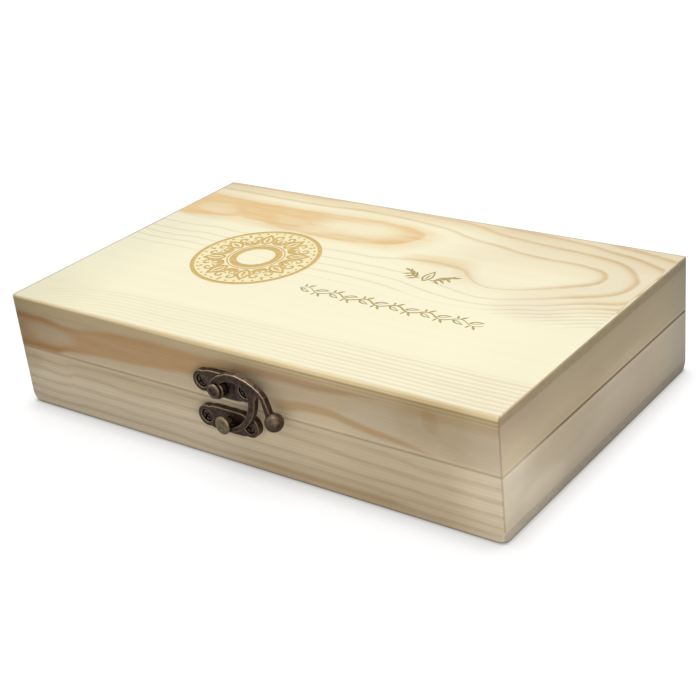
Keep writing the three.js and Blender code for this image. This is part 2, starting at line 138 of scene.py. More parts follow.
class CaseLiningSettings(bpy.types.PropertyGroup):
    foam: paint("Foam colour", "Dark foam of the tray and the pad", 0.018, 0.017, 0.017)
    well: in_mm("Well radius", "Radius of each round well", 19.25)
    rim: in_mm("Well rim", "Radius round the mouth of each well", 0.8)


class CaseStageSettings(bpy.types.PropertyGroup):
    camera_spot: FloatVectorProperty(name="Camera", description="Where the camera stands", size=3,
                                     default=(0.341211, -0.419445, 0.281895), subtype="TRANSLATION")
    azimuth: in_degrees("Azimuth", "Turn of the view about Z", 39.026)
    elevation: in_degrees("Elevation", "How far the view looks down", 26.152)
    roll: in_degrees("Roll", "Turn of the picture about the line of sight", 6.272)
    focal_pixels: number("Focal length", "Focal length in pixels of a 700 pixel frame", 1421.98,
                         subtype="PIXEL")
    floor_colour: paint("Floor", "Colour of the pale floor", 0.60, 0.60, 0.60)
    floor_seen: number("Floor as seen", "Grey of the floor in the camera's own view", 0.34, subtype="FACTOR")
    floor_lift: number("Floor lift", "White that the camera sees over the lit floor", 0.72, subtype="FACTOR")
    contact: number("Contact shadow", "Share of that white lost where the case touches the floor", 0.62,
                    subtype="FACTOR")
    contact_reach: in_mm("Contact reach", "How far from the case that shadow runs", 10)
    # Painted shadow: a narrow dark line on the floor right beside the case
    crease_shadow: number("Crease", "Share lost in the narrow line right beside the case", 0.60, subtype="FACTOR")
    crease_shadow_reach: in_mm("Crease reach", "Width of that line", 1.6)
    sky: number("Sky", "Strength of the even light all round", 0.30)
    sun: number("Main light", "Strength of the broad light over the back left", 2.45)
    sun_spread: in_degrees("Main light spread", "Apparent width of the main light", 50)
    sun_from: FloatVectorProperty(name="Main light from", description="Direction that the main light "
                                  "comes from",
                                  default=(-0.12, 0.28, 1.0), size=3, subtype="DIRECTION")
    fill: number("Fill lamp", "Power of the soft lamp in front on the right", 0.9, unit="POWER")


class CoinCaseSettings(bpy.types.PropertyGroup):
    wood: PointerProperty(type=CaseWoodSettings)
    ornament: PointerProperty(type=CaseOrnamentSettings)
    metal: PointerProperty(type=CaseMetalSettings)
    lining: PointerProperty(type=CaseLiningSettings)
    stage: PointerProperty(type=CaseStageSettings)


def settings():
    return bpy.context.scene.coin_case


# Shader nodes

class Value:
    """A number or colour on its way through a material, with the sums that it can take part in."""

    def __init__(self, finish, socket):
        self.finish = finish
        self.socket = socket

    def __add__(self, other):
        return self.finish.math("ADD", self, other)

    def __sub__(self, other):
        return self.finish.math("SUBTRACT", self, other)

    def __rsub__(self, other):
        return self.finish.math("SUBTRACT", other, self)

    def __mul__(self, other):
        return self.finish.math("MULTIPLY", self, other)

    def __truediv__(self, other):
        return self.finish.math("DIVIDE", self, other)

    def __pow__(self, power):
        return self.finish.math("POWER", self, float(power))

    def __abs__(self):
        return self.finish.math("ABSOLUTE", self)

    __radd__, __rmul__ = __add__, __mul__

    def pulse(self, width):
        """1 where the value is 0, falling off over width on both sides."""
        return self.finish.math("EXPONENT", (self * (1 / width)) ** 2 * -1.0)

    def ease(self, start, end):
        """0 up to start, 1 from end, smooth between; start may be the larger."""
        made = self.finish.node("ShaderNodeMapRange", interpolation_type="SMOOTHSTEP", clamp=True)
        low, high = sorted((start, end))
        shares = (0.0, 1.0) if start < end else (1.0, 0.0)
        names = ("Value", "From Min", "From Max", "To Min", "To Max")
        for name, source in zip(names, (self, low, high, *shares)):
            self.finish.feed(made.inputs[name], source)
        return Value(self.finish, made.outputs["Result"])


class Finish:
    """One material, its node tree and short ways to add nodes to it."""

    def __init__(self, name):
        self.material = bpy.data.materials.new(name)
        self.material.use_nodes = True
        self.tree = self.material.node_tree
        self.shader = self.tree.nodes["Principled BSDF"]
        where = self.node("ShaderNodeTexCoord")
        # The surface's place in millimetres, in the part's frame, and the way that it faces
        self.x, self.y, self.z = self.apart(self.scale(where.outputs["Object"], 1 / MM))
        self.normal = self.apart(where.outputs["Normal"])

    def node(self, kind, **values):
        made = self.tree.nodes.new(kind)
        for key, value in values.items():
            setattr(made, key, value)
        return made

    def feed(self, socket, source):
        source = source.socket if isinstance(source, Value) else source
        if isinstance(source, bpy.types.NodeSocket):
            self.tree.links.new(source, socket)
        elif source is not None:
            socket.default_value = source

    def fed(self, made, *sources):
        """The first output of a node whose inputs are fed in order."""
        for socket, source in zip(made.inputs, sources):
            self.feed(socket, source)
        return Value(self, made.outputs[0])

    def apart(self, vector):
        made = self.node("ShaderNodeSeparateXYZ")
        self.feed(made.inputs[0], vector)
        return [Value(self, socket) for socket in made.outputs]

    def math(self, operation, a, b=None, clamp=False):
        return self.fed(self.node("ShaderNodeMath", operation=operation, use_clamp=clamp), a, b)

    def least(self, a, b):
        return self.math("MINIMUM", a, b)

    def most(self, first, *others):
        for other in others:
            first = self.math("MAXIMUM", first, other)
        return first

    def blend(self, share, a, b):
        """The number a where share is 0, and b where it is 1."""
        return (b - a) * share + a

    def mix(self, share, a, b, blend="MIX"):
        made = self.node("ShaderNodeMix", data_type="RGBA", blend_type=blend)
        self.feed(made.inputs[0], share)
        for socket, source in ((made.inputs[6], a), (made.inputs[7], b)):
            self.feed(socket, source if isinstance(source, Value) else (*source, 1.0))
        return Value(self, made.outputs[2])

    def tint(self, colour, *layers):
        """The colour, multiplied by each layer's shade as far as the layer's share says."""
        for share, shade in layers:
            colour = self.mix(share, colour, shade, "MULTIPLY")
        return colour

    def scale(self, colour, value):
        made = self.node("ShaderNodeVectorMath", operation="SCALE")
        self.feed(made.inputs["Scale"], value)
        return self.fed(made, colour)

    def curve(self, value, points):
        """A smooth curve through (input, output) points."""
        xs, ys = zip(*points)
        low, span = min(xs), max(xs) - min(xs)
        base, rise = min(ys), max(ys) - min(ys)
        made = self.node("ShaderNodeFloatCurve")
        line = made.mapping.curves[0]
        while len(line.points) < len(points):
            line.points.new(0.5, 0.5)
        for point, (x, y) in zip(line.points, points):
            point.location = ((x - low) / span, (y - base) / rise)
            point.handle_type = "AUTO_CLAMPED"
        made.mapping.update()
        self.feed(made.inputs["Value"], (value - low) * (1 / span))
        return Value(self, made.outputs["Value"]) * rise + base

    def stored(self, name):
        """A value that the mesh carries on its points."""
        made = self.node("ShaderNodeAttribute", attribute_name=name, attribute_type="GEOMETRY")
        return Value(self, made.outputs["Fac"])

    def noise(self, x, y, z=0.0, scale=1.0, detail=2.0, roughness=0.5):
        """Noise about 0, roughly between -0.5 and 0.5."""
        made = self.node("ShaderNodeTexNoise", noise_dimensions="3D", normalize=True)
        self.feed(made.inputs["Vector"], self.fed(self.node("ShaderNodeCombineXYZ"), x, y, z))
        for name, value in (("Scale", scale), ("Detail", detail), ("Roughness", roughness)):
            made.inputs[name].default_value = value
        return Value(self, made.outputs[0]) - 0.5

    def occlusion(self, reach, samples):
        """1 in the open, less where something stands within reach."""
        made = self.node("ShaderNodeAmbientOcclusion", samples=samples)
        made.inputs["Distance"].default_value = reach
        return Value(self, made.outputs["AO"])

    def surface(self, colour, roughness, height=None, depth=0.0, metallic=0.0, specular=0.35):
        for name, source in (("Base Color", colour), ("Roughness", roughness), ("Metallic", metallic),
                             ("Specular IOR Level", specular)):
            self.feed(self.shader.inputs[name], source)
        if height is not None:
            bump = self.node("ShaderNodeBump")
            bump.inputs["Distance"].default_value = depth
            self.feed(bump.inputs["Height"], height)
            self.feed(self.shader.inputs["Normal"], bump.outputs[0])
        return self.material


# Pine

def darker(colour, share):
    return tuple(channel * share for channel in colour)


def ring_lines(f, field, above, under):
    """A line at each whole number of the field, as wide as above and under say on its two sides."""
    over = f.math("FRACT", field)
    return over.pulse(above) + (1.0 - over).pulse(under)


def fibre(f, along, across, other=0.0):
    """Fine fibres and broad streaks that run along the board."""
    fine = f.noise(along * 0.018, across * 1.6, other, detail=4.0, roughness=0.65)
    return fine, f.noise(along * 0.006, across * 0.16, other)


# Growth rings of the lid's board: for each ring, places that it passes through, in millimetres from the
# board's left end and back edge. The last three lists only steer the rings where the board shows none.
RING_PLACES = {
    4: [(0, 15), (10, 16.5), (30, 17.5), (50, 17.9), (77, 16.6), (100, 15), (111, 16.2), (127, 19.7),
        (132, 23.4), (130.5, 27.5), (125.5, 34.4), (115, 39.9), (108, 41.9), (99, 42.7), (71, 41.4),
        (46, 37.7), (33, 37.5), (18, 41.1), (0, 42.7)],
    3: [(0, 8), (23, 8.7), (38, 9.4), (69, 9.1), (100, 8.2), (116, 9.1), (126, 11), (143, 15.3), (166, 20.3),
        (197, 24.4), (212, 25.6), (217, 27.3), (220.5, 30.6), (221.5, 34.6), (220, 39.2), (216, 43),
        (205, 50.8), (197, 55.3), (190, 58.3), (182, 59.1), (176, 57.5), (165, 48.7), (157, 47.1),
        (148, 46.6), (139, 47.6), (121, 52.1), (97, 52.6), (71, 52.6), (44, 52.5), (24, 52.8), (0, 52.4)],
    2: [(0, 2.1), (55, 2), (110, 1.6), (135, 2.4), (147, 4.2), (160, 8.7), (189, 12.6), (217, 16.2),
        (223, 18.5), (227.5, 22.1), (231.5, 26.7), (234.5, 32.2), (234.5, 36.7), (233, 42.7), (230, 46.9),
        (212, 57.4), (197, 65.1), (190, 67.8), (182, 68.6), (174, 67.4), (158, 62.9), (140, 60.5),
        (102, 59.8), (71, 59.9), (44, 59.5), (24, 60.3), (0, 60.1)],
    1: [(160, 1.3), (174, 2.1), (204, 5.8), (223, 10.2), (240, 17.7), (240, 50.2), (212, 64.4), (197, 71.4),
        (190, 73.6), (182, 74.4), (174, 74), (141, 67.3), (121, 66.1), (71, 65.2), (31, 64.5), (0, 65)],
    0: [(212, 1.6), (227, 4.2), (240, 7.8), (240, 57.4), (213, 69.5), (197, 75.1), (186, 78.1), (161, 78.1),
        (121, 72.5), (61, 70.8), (0, 70.7)],
    -1: [(240, 60.7), (213, 72.1), (205, 75.1)],
    -2: [(240, 63.5), (215, 74.7)],
    -3: [(240, 66.5), (217, 76.8)],
    -4: [(240, 69.5), (228, 74.8)],
    -5: [(240, 72.6), (229, 77.6)],
    4.8: [(20, 29), (45, 27.6), (70, 29.2), (100, 28.2), (118, 26.8)],
    3.45: [(140, 29.3), (152, 28.4), (165, 33.5), (180, 37.6), (195, 39.6), (205, 35.6), (186, 47.7)],
    -7: [(0, 112), (82, 114.4), (161, 114.5), (240, 92.4), (240, 114.6)],
}
PLATE_SLACK = 6.0
# Ovals of another colour: middle, half sizes, turn and strength
GOLD_PATCHES = [((150, 44.5), (19, 6.0), -0.08, 0.42), ((141, 42.5), (8, 2.6), 0.0, 0.35),
                ((166, 50), (11, 4.0), 0.8, 0.2)]
PALE_PATCHES = [((99, 28.2), (26, 8.4), -0.03, 0.76), ((84, 33.5), (17, 6.0), -0.2, 0.42),
                ((60, 31), (12, 4.6), 0.1, 0.22), ((17.5, 31.6), (12, 5.4), 0.0, 0.42)]
MEDALLION_REST = ((73.7, 71.75), (33, 33), 0.0, 0.75)
CROWDED_RINGS = ((207, 69), (17, 12), 0.0, 1.0)
FRONT_RINGS_START = 122.0
FRONT_RINGS_PITCH = 2.64


def ring_field(spots):
    """Ring count and its rate per millimetre at each (along, across) spot: a thin plate over RING_PLACES."""
    places = np.array([place for ring in RING_PLACES.values() for place in ring], float)
    counts = np.array([count for count, ring in RING_PLACES.items() for _ in ring], float)

    def plate(a, b):
        gap = ((a[:, None, :] - b[None, :, :]) ** 2).sum(-1)
        return 0.5 * gap * np.log(np.maximum(gap, 1e-9))

    size = len(places)
    plane = np.hstack([np.ones((size, 1)), places])
    system = np.zeros((size + 3, size + 3))
    system[:size, :size] = plate(places, places) + PLATE_SLACK * np.eye(size)
    system[:size, size:], system[size:, :size] = plane, plane.T
    weights = np.linalg.solve(system, np.concatenate([counts, np.zeros(3)]))

    def count_at(places_asked):
        bent = plate(places_asked, places) @ weights[:size]
        return bent + weights[size] + places_asked @ weights[size + 1:]

    step = 0.4
    ahead = [count_at(spots + shift) - count_at(spots - shift) for shift in ((step, 0.0), (0.0, step))]
    return count_at(spots), np.hypot(*ahead) / (2 * step)


def mark_rings(mesh):
    """Stores the lid's ring count and ring rate on each point of the mesh."""
    spots = [((v.co.x - LEFT_X) / MM, (BACK_Y - v.co.y + TOP_HIGH[2] - v.co.z) / MM) for v in mesh.vertices]
    for name, values in zip(("ring_count", "ring_rate"), ring_field(np.array(spots, float))):
        layer = mesh.attributes.new(name, "FLOAT", "POINT")
        layer.data.foreach_set("value", values.astype(np.float32))


def patch(f, along, across, spot):
    """An oval patch that fades at its rim: (middle, half sizes, turn, strength)."""
    (x, y), (half_x, half_y), turn, full = spot
    c, s = math.cos(turn), math.sin(turn)
    dx, dy = along - x, across - y
    u, v = (dx * c + dy * s) * (1 / half_x), (dy * c - dx * s) * (1 / half_y)
    return (u ** 2 + v ** 2).ease(1.5, 0.0) * full


def patches(f, along, across, spots):
    return f.most(*(patch(f, along, across, spot) for spot in spots))


def shaded_corners(f, colour):
    """Painted shade on the rounded upright corners."""
    rim = f.least(abs(f.normal[0]), abs(f.normal[1])).ease(0.12, 0.55)
    return f.tint(colour, (rim * 0.8, (0.62, 0.57, 0.52)))


def lid_top_pine(f):
    wood = settings().wood
    along = f.x - LEFT_X / MM
    drop = TOP_HIGH[2] / MM - f.z
    from_back = BACK_Y / MM - f.y
    across = from_back + drop
    wobble = f.noise(along * 0.02, across * 0.05, detail=3.0)
    small = f.noise(along * 0.08, across * 0.3, detail=3.0)
    fine, broad = fibre(f, along, across)

    # Rings: how far each point lies outside (below 0) or inside (above 0) the nearest one, in millimetres
    count = f.stored("ring_count") + small * 0.10
    nearest = f.math("ROUND", count)
    gap = (count - nearest) / f.most(f.stored("ring_rate"), 0.05)
    nose = along.ease(195, 222)
    right = along.ease(105, 165)
    top_left = across.ease(14, 10) * along.ease(150, 110)
    wide = f.most(across.ease(58, 44), nose * across.ease(66, 52))
    shown = across.ease(83, 71) * abs(nearest - 4.0).ease(0.2, 0.8) * nearest.ease(-6.5, -4.5)
    shown = shown * (small + 1.0) * (1.0 - patch(f, along, across, MEDALLION_REST))
    thin_line = gap.ease(-0.5, 0.1) * gap.ease(1.3, 0.2) * shown * (1.0 - wide) * 1.4
    wide_line = gap.ease(-1.1, 0.3) * gap.ease(2.6, 0.5) * shown * wide
    wide_line = wide_line * (right * 0.30 + top_left * 0.40 + 0.50)
    halo = gap.ease(-1.4, 0.4) * gap.ease(5.0, 0.6) * (nose * 0.6 + 0.4) * shown * right * wide

    # The golden tongue from the left end, with its paler heart, and a few loose patches
    inside = (count - 4.0) * 7.5
    glow = inside.ease(-5.5, 0.5) * across.ease(48, 42) * 0.46
    pale = patches(f, along + wobble * 14.0, across + wobble * 6.0, PALE_PATCHES)
    gold = f.most(inside.ease(-0.9, 1.3), glow) * (1.0 - pale) * ((small + broad) * 0.55 + 0.97)
    gold = gold * (1.0 - along.ease(55, 85) * along.ease(122, 108) * 0.20)
    loose = patches(f, along + wobble * 20.0, across + wobble * 8.0, GOLD_PATCHES)
    gold = f.most(gold, loose * count.ease(4.6, 3.9))
    gold = gold * (f.noise(along * 0.035, across * 0.62, 5.0, detail=3.0) * 0.55 + 1.0)

    # Straight close rings along the front edge, bending down at the left end
    front = across + f.most(62.0 - along, 0.0) ** 2 * -0.0042 + wobble * 3.0
    close = ring_lines(f, (front - FRONT_RINGS_START) * (1 / FRONT_RINGS_PITCH), 0.18, 0.34)
    close = close * front.ease(FRONT_RINGS_START - 1, FRONT_RINGS_START + 2) * ((small + broad) * 1.1 + 0.80)
    close = close * (along.ease(0, 60) * 0.4 + along.ease(130, 225) * 2.2 + 0.6)

    # Base colour: warmer and darker toward the back and the right, greyer at the left end
    pale_top = tuple(wood.top_colour)
    island = (count - 3.0).ease(0.05, 0.3) * along.ease(150, 180)
    paler = island * across.ease(26, 40) * (0.66 - along.ease(200, 222) * 0.35)
    colour = f.tint(f.mix(broad.ease(-0.3, 0.3), pale_top, darker(pale_top, 0.97)),
                    (across.ease(15, 4) * along.ease(205, 135), (0.88, 0.79, 0.70)),
                    (along.ease(130, 180) * across.ease(72, 48) * (1.0 - paler), (0.90, 0.86, 0.83)),
                    (along.ease(135, 200) * across.ease(30, 8), (0.94, 0.91, 0.88)),
                    (along.ease(196, 232), (0.955, 0.95, 0.955)),
                    (patch(f, along, across, CROWDED_RINGS), (0.94, 0.90, 0.915)),
                    (along.ease(45, 3), (0.92, 0.92, 0.93)),
                    (along.ease(55, 5) * across.ease(112, 128), (0.94, 0.93, 0.91)))
    colour = f.mix(f.math("MULTIPLY", gold, 0.95, clamp=True), colour, tuple(wood.gold_colour))
    colour = f.tint(colour,
                    (halo, (0.93, 0.86, 0.78)),
                    (wide_line, (0.85, 0.77, 0.66)),
                    (thin_line, (0.88, 0.855, 0.83)),
                    (close * 0.72, (0.89, 0.86, 0.83)),
                    (abs(fine).ease(0.05, 0.4) * 0.5, (0.93, 0.90, 0.86)))

    # Scorched ground round the medallion's cuts, and a painted shade line at the face's left and back edges
    middle_x, middle_y = MEDALLION_REST[0]
    out = f.math("SQRT", (along - middle_x) ** 2 + (across - middle_y) ** 2)
    colour = f.tint(colour, (out.ease(11.0, 14.0) * out.ease(28.9, 27.5), (0.985, 0.94, 0.79)),
                    (f.least(along, from_back).ease(2.0, 0.4), (0.60, 0.56, 0.62)))

    # End grain on the two short edges
    ends = abs(f.normal[0]).ease(0.45, 0.75)
    lit = drop.ease(1.3, 0.4) * (f.y.ease(-20, -60) * 0.5 + 0.4)
    colour = f.mix(ends, colour, f.scale(side_board(f)[0], lit + 1.0))

    # Front and back edges: the rings of the face turn down into narrow dark lines
    edge = abs(f.normal[1]).ease(0.30, 0.95)
    board, board_relief = front_board(f)
    lip = (drop - 2.45).pulse(0.42) + (drop - 3.95).pulse(0.38) * 0.8 + (drop - 1.1).pulse(0.22) * 0.35
    lip = lip * (along.ease(105, 150) * 0.9 + 0.1)
    board = f.tint(board, (1.0, f.mix(along.ease(8, 50), (1.05, 1.07, 0.93), (1.04, 1.085, 1.06))))
    # Painted highlight on the rounded upper front and back edges, wider toward the right where the radius is
    # larger
    rounded = drop * (1.9 - along.ease(10, 110) * 0.9)
    board = f.scale(board, rounded.ease(2.4, 1.5) * 0.5 + 1.0)
    board = f.tint(board, (lip * (small * 0.8 + 0.9), (0.78, 0.72, 0.62)))
    # Painted shade on the rounded upright corners
    colour = shaded_corners(f, f.mix(edge, colour, board))
    relief = (wide_line + thin_line + close + fine) * 0.5
    relief = f.blend(f.most(edge, ends), relief, board_relief * 0.5)
    return f.surface(colour, 0.62, relief, 0.06 * MM, specular=0.25)


# The front board, in millimetres from its left end and down from the lid's top: each ring line as its
# strength, half width and places, then the edges and middles of its orange bands
FRONT_LINES = [
    (0.8, 0.95, [(0, 28.9), (10, 28.3), (20, 29.0), (28, 28.0), (36, 27.1), (50, 26.5), (85, 26.5),
                 (130, 26.6), (160, 26.9), (190, 27.4), (203, 28.6), (212, 29.3), (228, 28.9),
                 (240, 28.8)]),
    (0.9, 0.95, [(0, 33.2), (10, 32.9), (20, 33.6), (28, 32.7), (36, 31.7), (50, 31.9), (66, 32.7),
                 (85, 32.2), (110, 32), (140, 31.3), (160, 31.8), (178, 33.1), (190, 33.5), (212, 34.2),
                 (240, 34.2)]),
    (0.85, 0.85, [(0, 37.9), (18, 38.5), (30, 37.5), (48, 37.7), (66, 37.8), (85, 37.9), (100, 37.6),
                  (122, 38.3), (160, 38.8), (178, 39.6), (200, 39.4), (212, 40.1), (240, 39.8)]),
    (0.65, 0.9, [(0, 42.4), (18, 42.8), (32, 42.3), (50, 42.3), (66, 42.7), (85, 42.1), (105, 42.6),
                 (125, 43.5), (160, 43.2), (190, 43.8), (212, 44.1), (240, 44.4)]),
    (1.0, 0.95, [(0, 46.4), (24, 47.1), (36, 46.3), (50, 46.5), (75, 46.4), (95, 47.1), (110, 47.7),
                 (130, 47.4), (160, 47.6), (190, 47.5), (206, 48), (240, 47.8)]),
]
BAND_TOP = [(0, 7.2), (14, 7.4), (24, 8.4), (33, 9.1), (42, 8.2), (52, 7.2), (66, 6.4), (85, 6.0),
            (105, 6.4), (125, 5.2), (150, 4.9), (180, 5.2), (200, 5.6), (240, 6.0)]
BAND_BOTTOM = [(0, 23.4), (20, 23.3), (28, 21.6), (38, 20.3), (50, 19.3), (62, 18.8), (78, 17.6),
               (92, 16.8), (106, 16.0), (118, 14.5), (128, 9.6), (140, 8.8), (165, 8.4), (183, 6.2),
               (200, 4.4), (240, 4.0)]
STREAK_MIDDLE = [(120, 19.6), (140, 18.6), (148, 17.9), (156, 16.6), (165, 16.3), (175, 17.8), (185, 19.3),
                 (195, 20.3), (205, 21.3), (214, 22.6), (240, 24)]
STREAK_HALF = [(120, -1.5), (134, 1.2), (142, 2.3), (156, 2.0), (168, 1.8), (185, 1.5), (200, 1.1),
               (212, 0.3), (225, -1.5), (240, -2)]
BAND_HEART = ((20.5, 14.8), (16, 5.2), 0.05, 0.62)
DULL_PATCH = ((157, 11.4), (26, 4.2), 0.0, 0.75)
BROWN_PATCHES = [((212, 9.2), (4.6, 6.0), -0.25, 0.85), ((220, 16.4), (7, 1.7), 0.25, 0.5),
                 ((209, 11.5), (15, 8.5), 0.0, 0.42), ((227, 15), (15, 8.5), 0.0, 0.40),
                 ((4, 29), (8, 6.5), 0.0, 0.30)]
# Brightness by place along and down the board: painted light and shade over the wood's own tone
LID_LIGHT_AND_TONE_ALONG = [(0, 0.70), (6, 0.78), (18, 0.91), (45, 1.05), (85, 1.08), (130, 1.13), (160, 1.15),
                  (178, 1.08), (192, 1.0), (218, 0.95), (232, 1.06), (240, 1.08)]
BASE_LIGHT_AND_TONE_ALONG = [(0, 0.78), (5, 0.87), (20, 0.97), (45, 0.98), (85, 0.98), (130, 1.02), (160, 1.03),
                   (185, 0.96), (208, 0.94), (222, 1.05), (231, 1.15), (240, 1.18)]
FRONT_LIGHT_AND_TONE_DOWN = [(0, 0.84), (12, 0.85), (18, 0.91), (23.6, 0.95), (25, 0.98), (30, 1.02), (36, 1.03),
                   (41, 1.02), (44.5, 0.99), (47, 1.0), (48.5, 1.05), (50, 1.02), (51, 0.88)]
# The back shows the same board turned over about this level
TURNED_LEVEL = 46.5


def front_board(f):
    """Colour and relief of the front, or of the back, where the same board is turned over."""
    level = TOP_HIGH[2] / MM - f.z
    end = f.x - LEFT_X / MM
    back = f.y.ease(0.0, 1.0)
    along = f.blend(back, end, (RIGHT_X - LEFT_X) / MM - end)
    down = f.blend(back, level, TURNED_LEVEL - level)
    wobble = f.noise(along * 0.018, down * 0.10, detail=3.0)
    small = f.noise(along * 0.06, down * 0.5)
    fine, broad = fibre(f, along, down, 7.0)
    swayed = down + wobble * 1.2

    # Rings, fainter above the middle and stronger near the underside, and the faint ones between
    rings = f.most(*((down - f.curve(along, places)).pulse(width) * full
                     for full, width, places in FRONT_LINES))
    quieter = along.ease(110, 150) * along.ease(205, 190) * down.ease(30, 28)
    deeper = along.ease(115, 150) * along.ease(222, 200) * down.ease(44.5, 46.5)
    rings = rings * (small * 1.3 + 0.95) * (1.0 - quieter * 0.45) * (deeper * 0.7 + 1.0)
    faint = ring_lines(f, swayed * 0.62 + along * 0.002, 0.16, 0.3) * (small * 1.6 + 0.45)
    faint = faint * f.blend(down.ease(24.5, 27.5), 0.5, 1.0)

    # The orange band, reddish on the right, with its paler heart, and the streak beside it
    inside = f.least(swayed - f.curve(along, BAND_TOP), f.curve(along, BAND_BOTTOM) - swayed)
    rims = (inside - 1.6).pulse(1.5) * along.ease(44, 20)
    band = inside.ease(-1.3, 1.4) * (1.0 - patch(f, along, swayed, BAND_HEART))
    band = band * ((small + broad) * 0.5 + 0.95)
    reddish = along.ease(100, 140)
    streak = f.curve(along, STREAK_HALF) - abs(swayed - f.curve(along, STREAK_MIDDLE))
    streak = streak.ease(-1.0, 1.2) * along.ease(128, 152) * along.ease(222, 200)

    base = tuple(settings().wood.front_colour)
    # Painted light and shade along and down the board, over the wood's own tone
    light_and_tone = f.blend(level.ease(23.4, 24.3), f.curve(end, LID_LIGHT_AND_TONE_ALONG), f.curve(end, BASE_LIGHT_AND_TONE_ALONG))
    low_left = end.ease(180, 95) * level.ease(26, 37)
    low_middle = end.ease(112, 135) * end.ease(206, 188) * level.ease(43, 47.5)
    between_plates = end.ease(103, 108) * end.ease(136, 127) * (level - 22.6).pulse(1.6)
    colour = f.scale(f.mix(broad.ease(-0.3, 0.3), base, darker(base, 0.95)),
                     light_and_tone * f.curve(level, FRONT_LIGHT_AND_TONE_DOWN) * (low_left * 0.21 + 1.0))
    colour = f.tint(colour,
                    (f.most(low_left, end.ease(220, 234)), (1.0, 1.04, 1.12)),
                    (level.ease(10.5, 6), (0.94, 0.87, 0.77)),
                    (end.ease(192, 210) * level.ease(9.5, 6), (0.92, 0.88, 0.82)),
                    (low_middle, (0.93, 0.885, 0.82)),
                    (between_plates * 0.9, (1.06, 1.07, 1.13)),
                    (band * (1.0 - reddish), (0.88, 0.675, 0.49)),
                    (band * reddish, (0.79, 0.69, 0.62)),
                    (rims, (0.86, 0.72, 0.56)),
                    (streak, (0.85, 0.71, 0.56)),
                    (patch(f, along, swayed, DULL_PATCH), (0.91, 0.85, 0.83)),
                    (patches(f, along, swayed, BROWN_PATCHES), (0.84, 0.74, 0.64)),
                    (rings + faint * 0.6, (0.82, 0.79, 0.75)),
                    (abs(fine).ease(0.03, 0.32), (0.91, 0.88, 0.84)))
    return colour, rings * 0.5 + fine * 0.6


# The right side, by millimetres from its front corner and down from the lid's top
# Painted fall-off of the light from the front corner toward the back, then painted light and shade down the side
# over the wood's own tone
SIDE_LIGHT_ALONG = [(0, 1.02), (8, 0.98), (20, 0.88), (32, 0.81), (45, 0.77), (75, 0.74), (105, 0.74),
                   (125, 0.72), (140, 0.69), (147, 0.66)]
SIDE_LIGHT_AND_TONE_DOWN = [(0, 0.74), (4, 0.76), (10, 0.82), (15, 0.87), (20, 0.92), (23.6, 0.95), (25, 1.0),
                  (35, 1.0), (42, 0.94), (46.5, 0.88), (51, 0.85)]
# Ovals of another tone on that side: middle, half sizes, turn and strength, then their shade
SIDE_PATCHES = [(((45, 29), (28, 10), 0.0, 1.0), (0.91, 0.89, 0.84)),
                (((28, 43), (16, 8), 0.0, 1.0), (1.15, 1.16, 1.19)),
                (((95, 21.5), (22, 3.5), 0.0, 1.0), (1.09, 1.08, 1.15))]
# How far the left side's grain is shifted against the right side's
LEFT_GRAIN_SHIFT = 60.0


def side_board(f):
    """Colour and relief of the two short sides, with the end grain of the top and bottom boards."""
    level = TOP_HIGH[2] / MM - f.z
    along = f.y - FRONT_Y / MM
    grain = f.y + f.x.ease(-1.0, 1.0) * LEFT_GRAIN_SHIFT
    wobble = f.noise(grain * 0.02, f.z * 0.08, 3.0, detail=3.0)
    cloud = f.noise(grain * 0.05, f.z * 0.09, 9.0, detail=3.0)
    mottle = f.noise(grain * 0.22, f.z * 0.55, 13.0, detail=4.0, roughness=0.65)
    fine = fibre(f, grain, f.z, 3.0)[0]
    rings = ring_lines(f, f.z * 0.13 + wobble * 1.6, 0.12, 0.45)
    top_end = level.ease(4.9, 3.7) * (mottle * 1.2 + 0.85)
    low_end = level.ease(45.8, 47.0) * (mottle * 1.6 + 0.9)
    base = tuple(settings().wood.side_colour)
    # Painted light fall-off toward the back and painted light and shade down the side
    colour = f.scale(f.mix(cloud.ease(-0.22, 0.22), base, darker(base, 0.96)),
                     f.curve(along, SIDE_LIGHT_ALONG) * f.curve(level, SIDE_LIGHT_AND_TONE_DOWN))
    colour = f.tint(colour,
                    (along.ease(4, 40) * 0.5, (1.0, 0.97, 0.92)),
                    (along.ease(120, 143), (0.91, 0.965, 1.0)),
                    (along.ease(42, 14) * level.ease(20, 5), (0.84, 0.80, 0.81)),
                    (level.ease(24.5, 23.0), (1.0, 0.955, 0.84)),
                    *((patch(f, along, level, spot), shade) for spot, shade in SIDE_PATCHES),
                    (rings * 0.12, (0.86, 0.80, 0.74)),
                    (abs(fine) * 0.6, (0.86, 0.82, 0.78)),
                    (top_end, (0.77, 0.75, 0.66)),
                    (low_end, (0.80, 0.79, 0.80)),
                    (mottle.ease(0.05, 0.3) * (top_end + low_end), (0.82, 0.78, 0.76)))
    return colour, fine + mottle * 0.5


def wall_pine(f, board, dark, bright, depth):
    """A wall's board with the seam's shadow line, painted highlights on the eased edges beside it and painted
    shade at its corners.
    """
    colour, relief = board
    off = f.z - SEAM_Z / MM
    # Painted highlights on the eased edges 1.25 mm above and below the seam, and the seam's painted shadow line
    colour = f.tint(colour, ((abs(off) - 1.25).pulse(0.5) * bright, (1.18, 1.18, 1.2)),
                    (off.pulse(0.52) * dark, (0.34, 0.29, 0.22)))
    return f.surface(shaded_corners(f, colour), 0.66, relief, depth, specular=0.25)


def front_pine(f):
    return wall_pine(f, front_board(f), f.x.ease(-110, -70) * 0.17 + 0.05, 0.35, 0.05 * MM)


def side_pine(f):
    return wall_pine(f, side_board(f), f.y.ease(-68, -25) * 0.85 + 0.15, 0.4, 0.04 * MM)


